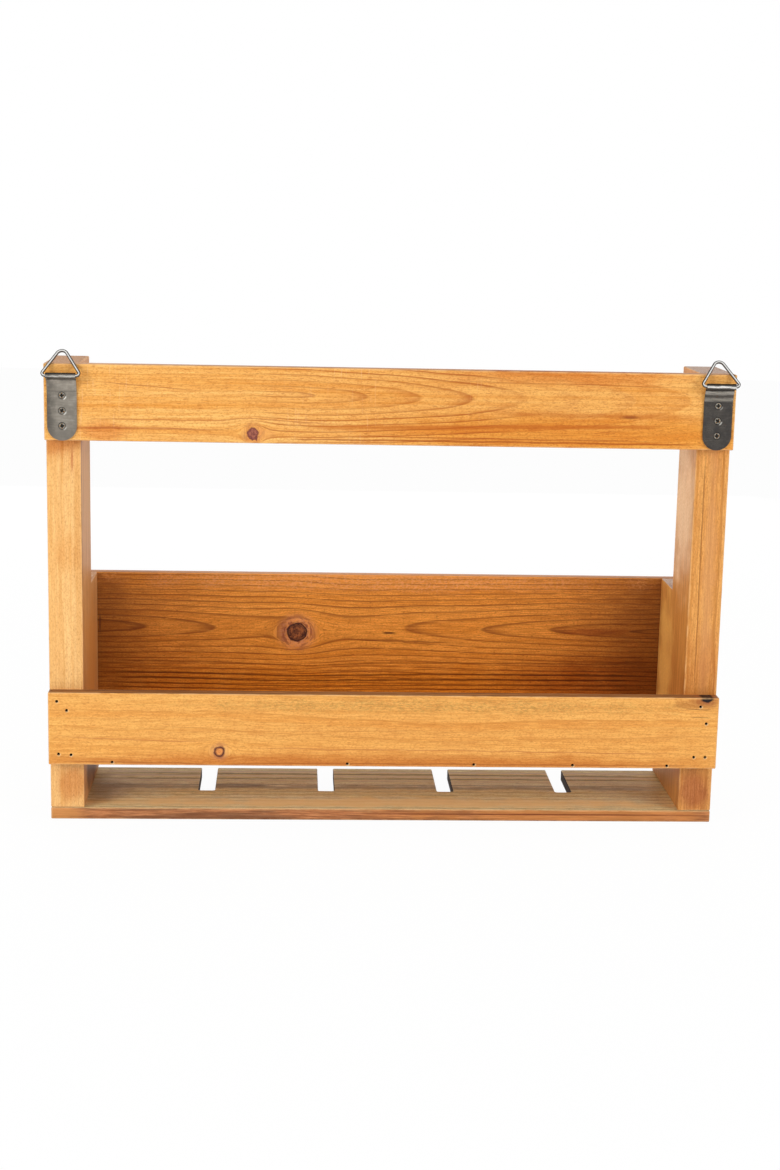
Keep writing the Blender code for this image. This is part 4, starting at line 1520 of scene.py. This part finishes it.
DARK_STRAP = SteelFinish(
    shade(97, 92, 87), shade(64, 63, 64), 0.28, 1.5, 0.2, 0.7, stain_share=0.25, seed=8.0,
    glint_shares=(0.3, 0.6, 0.0),
    bands=(
        # Painted light: lighter and darker bands on the neck are painted reflections, then a
        # painted shadow under the curl, the curl darker, and a painted highlight streak along it.
        Band(328.4, 331.2, shade(150, 144, 134), 0.9, 0.06),
        Band(331.2, 333.4, shade(92, 86, 80), 0.8),
        Band(333.4, 336.2, shade(168, 162, 152), 0.9, 0.06),
        Band(336.2, 337.6, SHADOW, 0.9, 0.0, 0.4),
        Band(337.6, 346.0, CURL_SHADE, 0.9, 0.08),
        Band(339.0, 340.3, shade(255, 252, 246), 1.0, 0.06, 0.25),
    ),
)


# Studio

@dataclass
class Studio:
    """Camera, soft lamps, white backdrop and pale floor."""

    place: tuple[float, float, float] = (0.07249, 1.470628, 0.46417)
    turn: tuple[float, float, float] = (78.9091, -1.2024, 177.2617)
    lens: float = 59.339
    ambient: float = 0.50
    floor_z: float = -0.0005
    floor_reach: float = 4.0
    floor_glow: float = 0.965
    aim: tuple[float, float, float] = (0.0, 0.0, 0.17)

    def camera(self) -> None:
        """Stand the camera where the photograph was taken from."""
        data = tuned(bpy.data.cameras.new("camera"), lens=self.lens, sensor_width=36.0,
                     sensor_fit="AUTO")
        turn = [math.radians(angle) for angle in self.turn]
        made = tuned(stand("camera", data), location=self.place, rotation_euler=turn)
        bpy.context.scene.camera = made

    def lamp(self, name: str, place: Sequence[float], size: float, power: float) -> None:
        """Hang a softbox that looks at the rack and that metal doesn't mirror.

        Args:
            name: the lamp's name.
            place: where it hangs.
            size: its side, in metres.
            power: its power, in watts.
        """
        data = tuned(bpy.data.lights.new(name, "AREA"), shape="SQUARE", size=size, energy=power)
        turn = (Vector(self.aim) - Vector(place)).to_track_quat("-Z", "Y").to_euler()
        tuned(stand(name, data), location=place, rotation_euler=turn, visible_camera=False,
              visible_glossy=False)

    def world(self) -> None:
        """White for what looks at it, dimmer for the light it gives; metal mirrors it bright
        towards the backdrop and behind the camera, dim in between.
        """
        made = bpy.data.worlds.new("studio")
        bpy.context.scene.world = made
        made.use_nodes = True
        made.node_tree.nodes.clear()
        g = Graph(made.node_tree)
        path = g.outs("ShaderNodeLightPath")
        seen = g.math("ADD", path["Is Camera Ray"], path["Is Transmission Ray"], clamp=True)
        way = g.split(g.out("ShaderNodeTexCoord", at="Generated"))[1]
        mirror = way.ease(-0.9, -0.8, *FADE_OUT).at_least(way.ease(0.02, 0.36, 0.08, 1.0))
        strength = path["Is Glossy Ray"].scaled(mirror - self.ambient, self.ambient)
        light = g.out("ShaderNodeBackground", Color=WHITE, Strength=seen.at_least(strength))
        g.node("ShaderNodeOutputWorld", Surface=light)

    def floor(self) -> None:
        """A wide pale floor that still shows the rack's soft shadow."""
        shape = bmesh.new()
        bmesh.ops.create_grid(shape, x_segments=4, y_segments=4, size=self.floor_reach)
        bmesh.ops.translate(shape, verts=shape.verts, vec=(0, 0, self.floor_z))
        piece = stand("floor", mesh_of(shape, "floor"))
        made = tuned(bpy.data.materials.new("floor_paint"), use_nodes=True)
        nodes = made.node_tree.nodes
        g = Graph(made.node_tree)
        place = g.out("ShaderNodeTexCoord", at="Object")
        speckle = g.blend(g.noise(place, scale=60.0), (0.93, 0.93, 0.925), (0.90, 0.90, 0.90))
        shader = nodes["Principled BSDF"]
        matt = {"Roughness": 0.9, "Specular IOR Level": 0.1, "Base Color": speckle}
        for name, value in matt.items():
            g.feed(shader.inputs[name], value)
        path = g.outs("ShaderNodeLightPath")
        seen = g.math("ADD", path["Is Camera Ray"], path["Is Transmission Ray"], clamp=True)
        near = g.split(place)[1].ease(-0.5, 0.6, 1.0, 0.2)
        seen = g.math("ADD", seen, path["Is Glossy Ray"] * near, clamp=True)
        glow = g.out("ShaderNodeEmission", Color=WHITE)
        lit = Wire(g, shader.outputs[0])
        mixed = g.out("ShaderNodeMixShader", seen * self.floor_glow, lit, glow)
        g.feed(nodes["Material Output"].inputs["Surface"], mixed)
        paint(piece.data, made)

    def build(self) -> None:
        """Set up the whole studio."""
        bpy.context.scene.view_settings.view_transform = "Standard"
        self.camera()
        self.world()
        self.floor()
        self.lamp("softbox_right", (1.15, 1.0, 0.66), 0.6, 9.0)
        self.lamp("softbox_left", (-1.15, 1.0, 0.66), 0.6, 7.4)
        self.lamp("overhead", (0.0, 0.2, 1.7), 1.2, 5.5)
        self.lamp("backdrop_glow", (0.0, -1.6, 0.5), 1.4, 13.0)
        LOG.info("built studio: camera, two softboxes, overhead lamp, backdrop lamp, floor")


def main() -> None:
    """Build the studio, dress the boards, set the fasteners and hang the rings."""
    logging.basicConfig(level=logging.INFO, format="%(message)s")
    Studio().build()
    for board in BOARDS:
        board.build()
    ring_steel = PLATED_RING.build("plated_ring")
    screw_steel = ZINC_SCREW.build("zinc_screw")
    BradSet().build(DARK_BRAD.build("dark_brad"))
    for side, steel in ((Side.RIGHT, GREY_STRAP), (Side.LEFT, DARK_STRAP)):
        StrapHanger(side, steel).build(ring_steel, screw_steel)


if __name__ == "__main__":
    main()
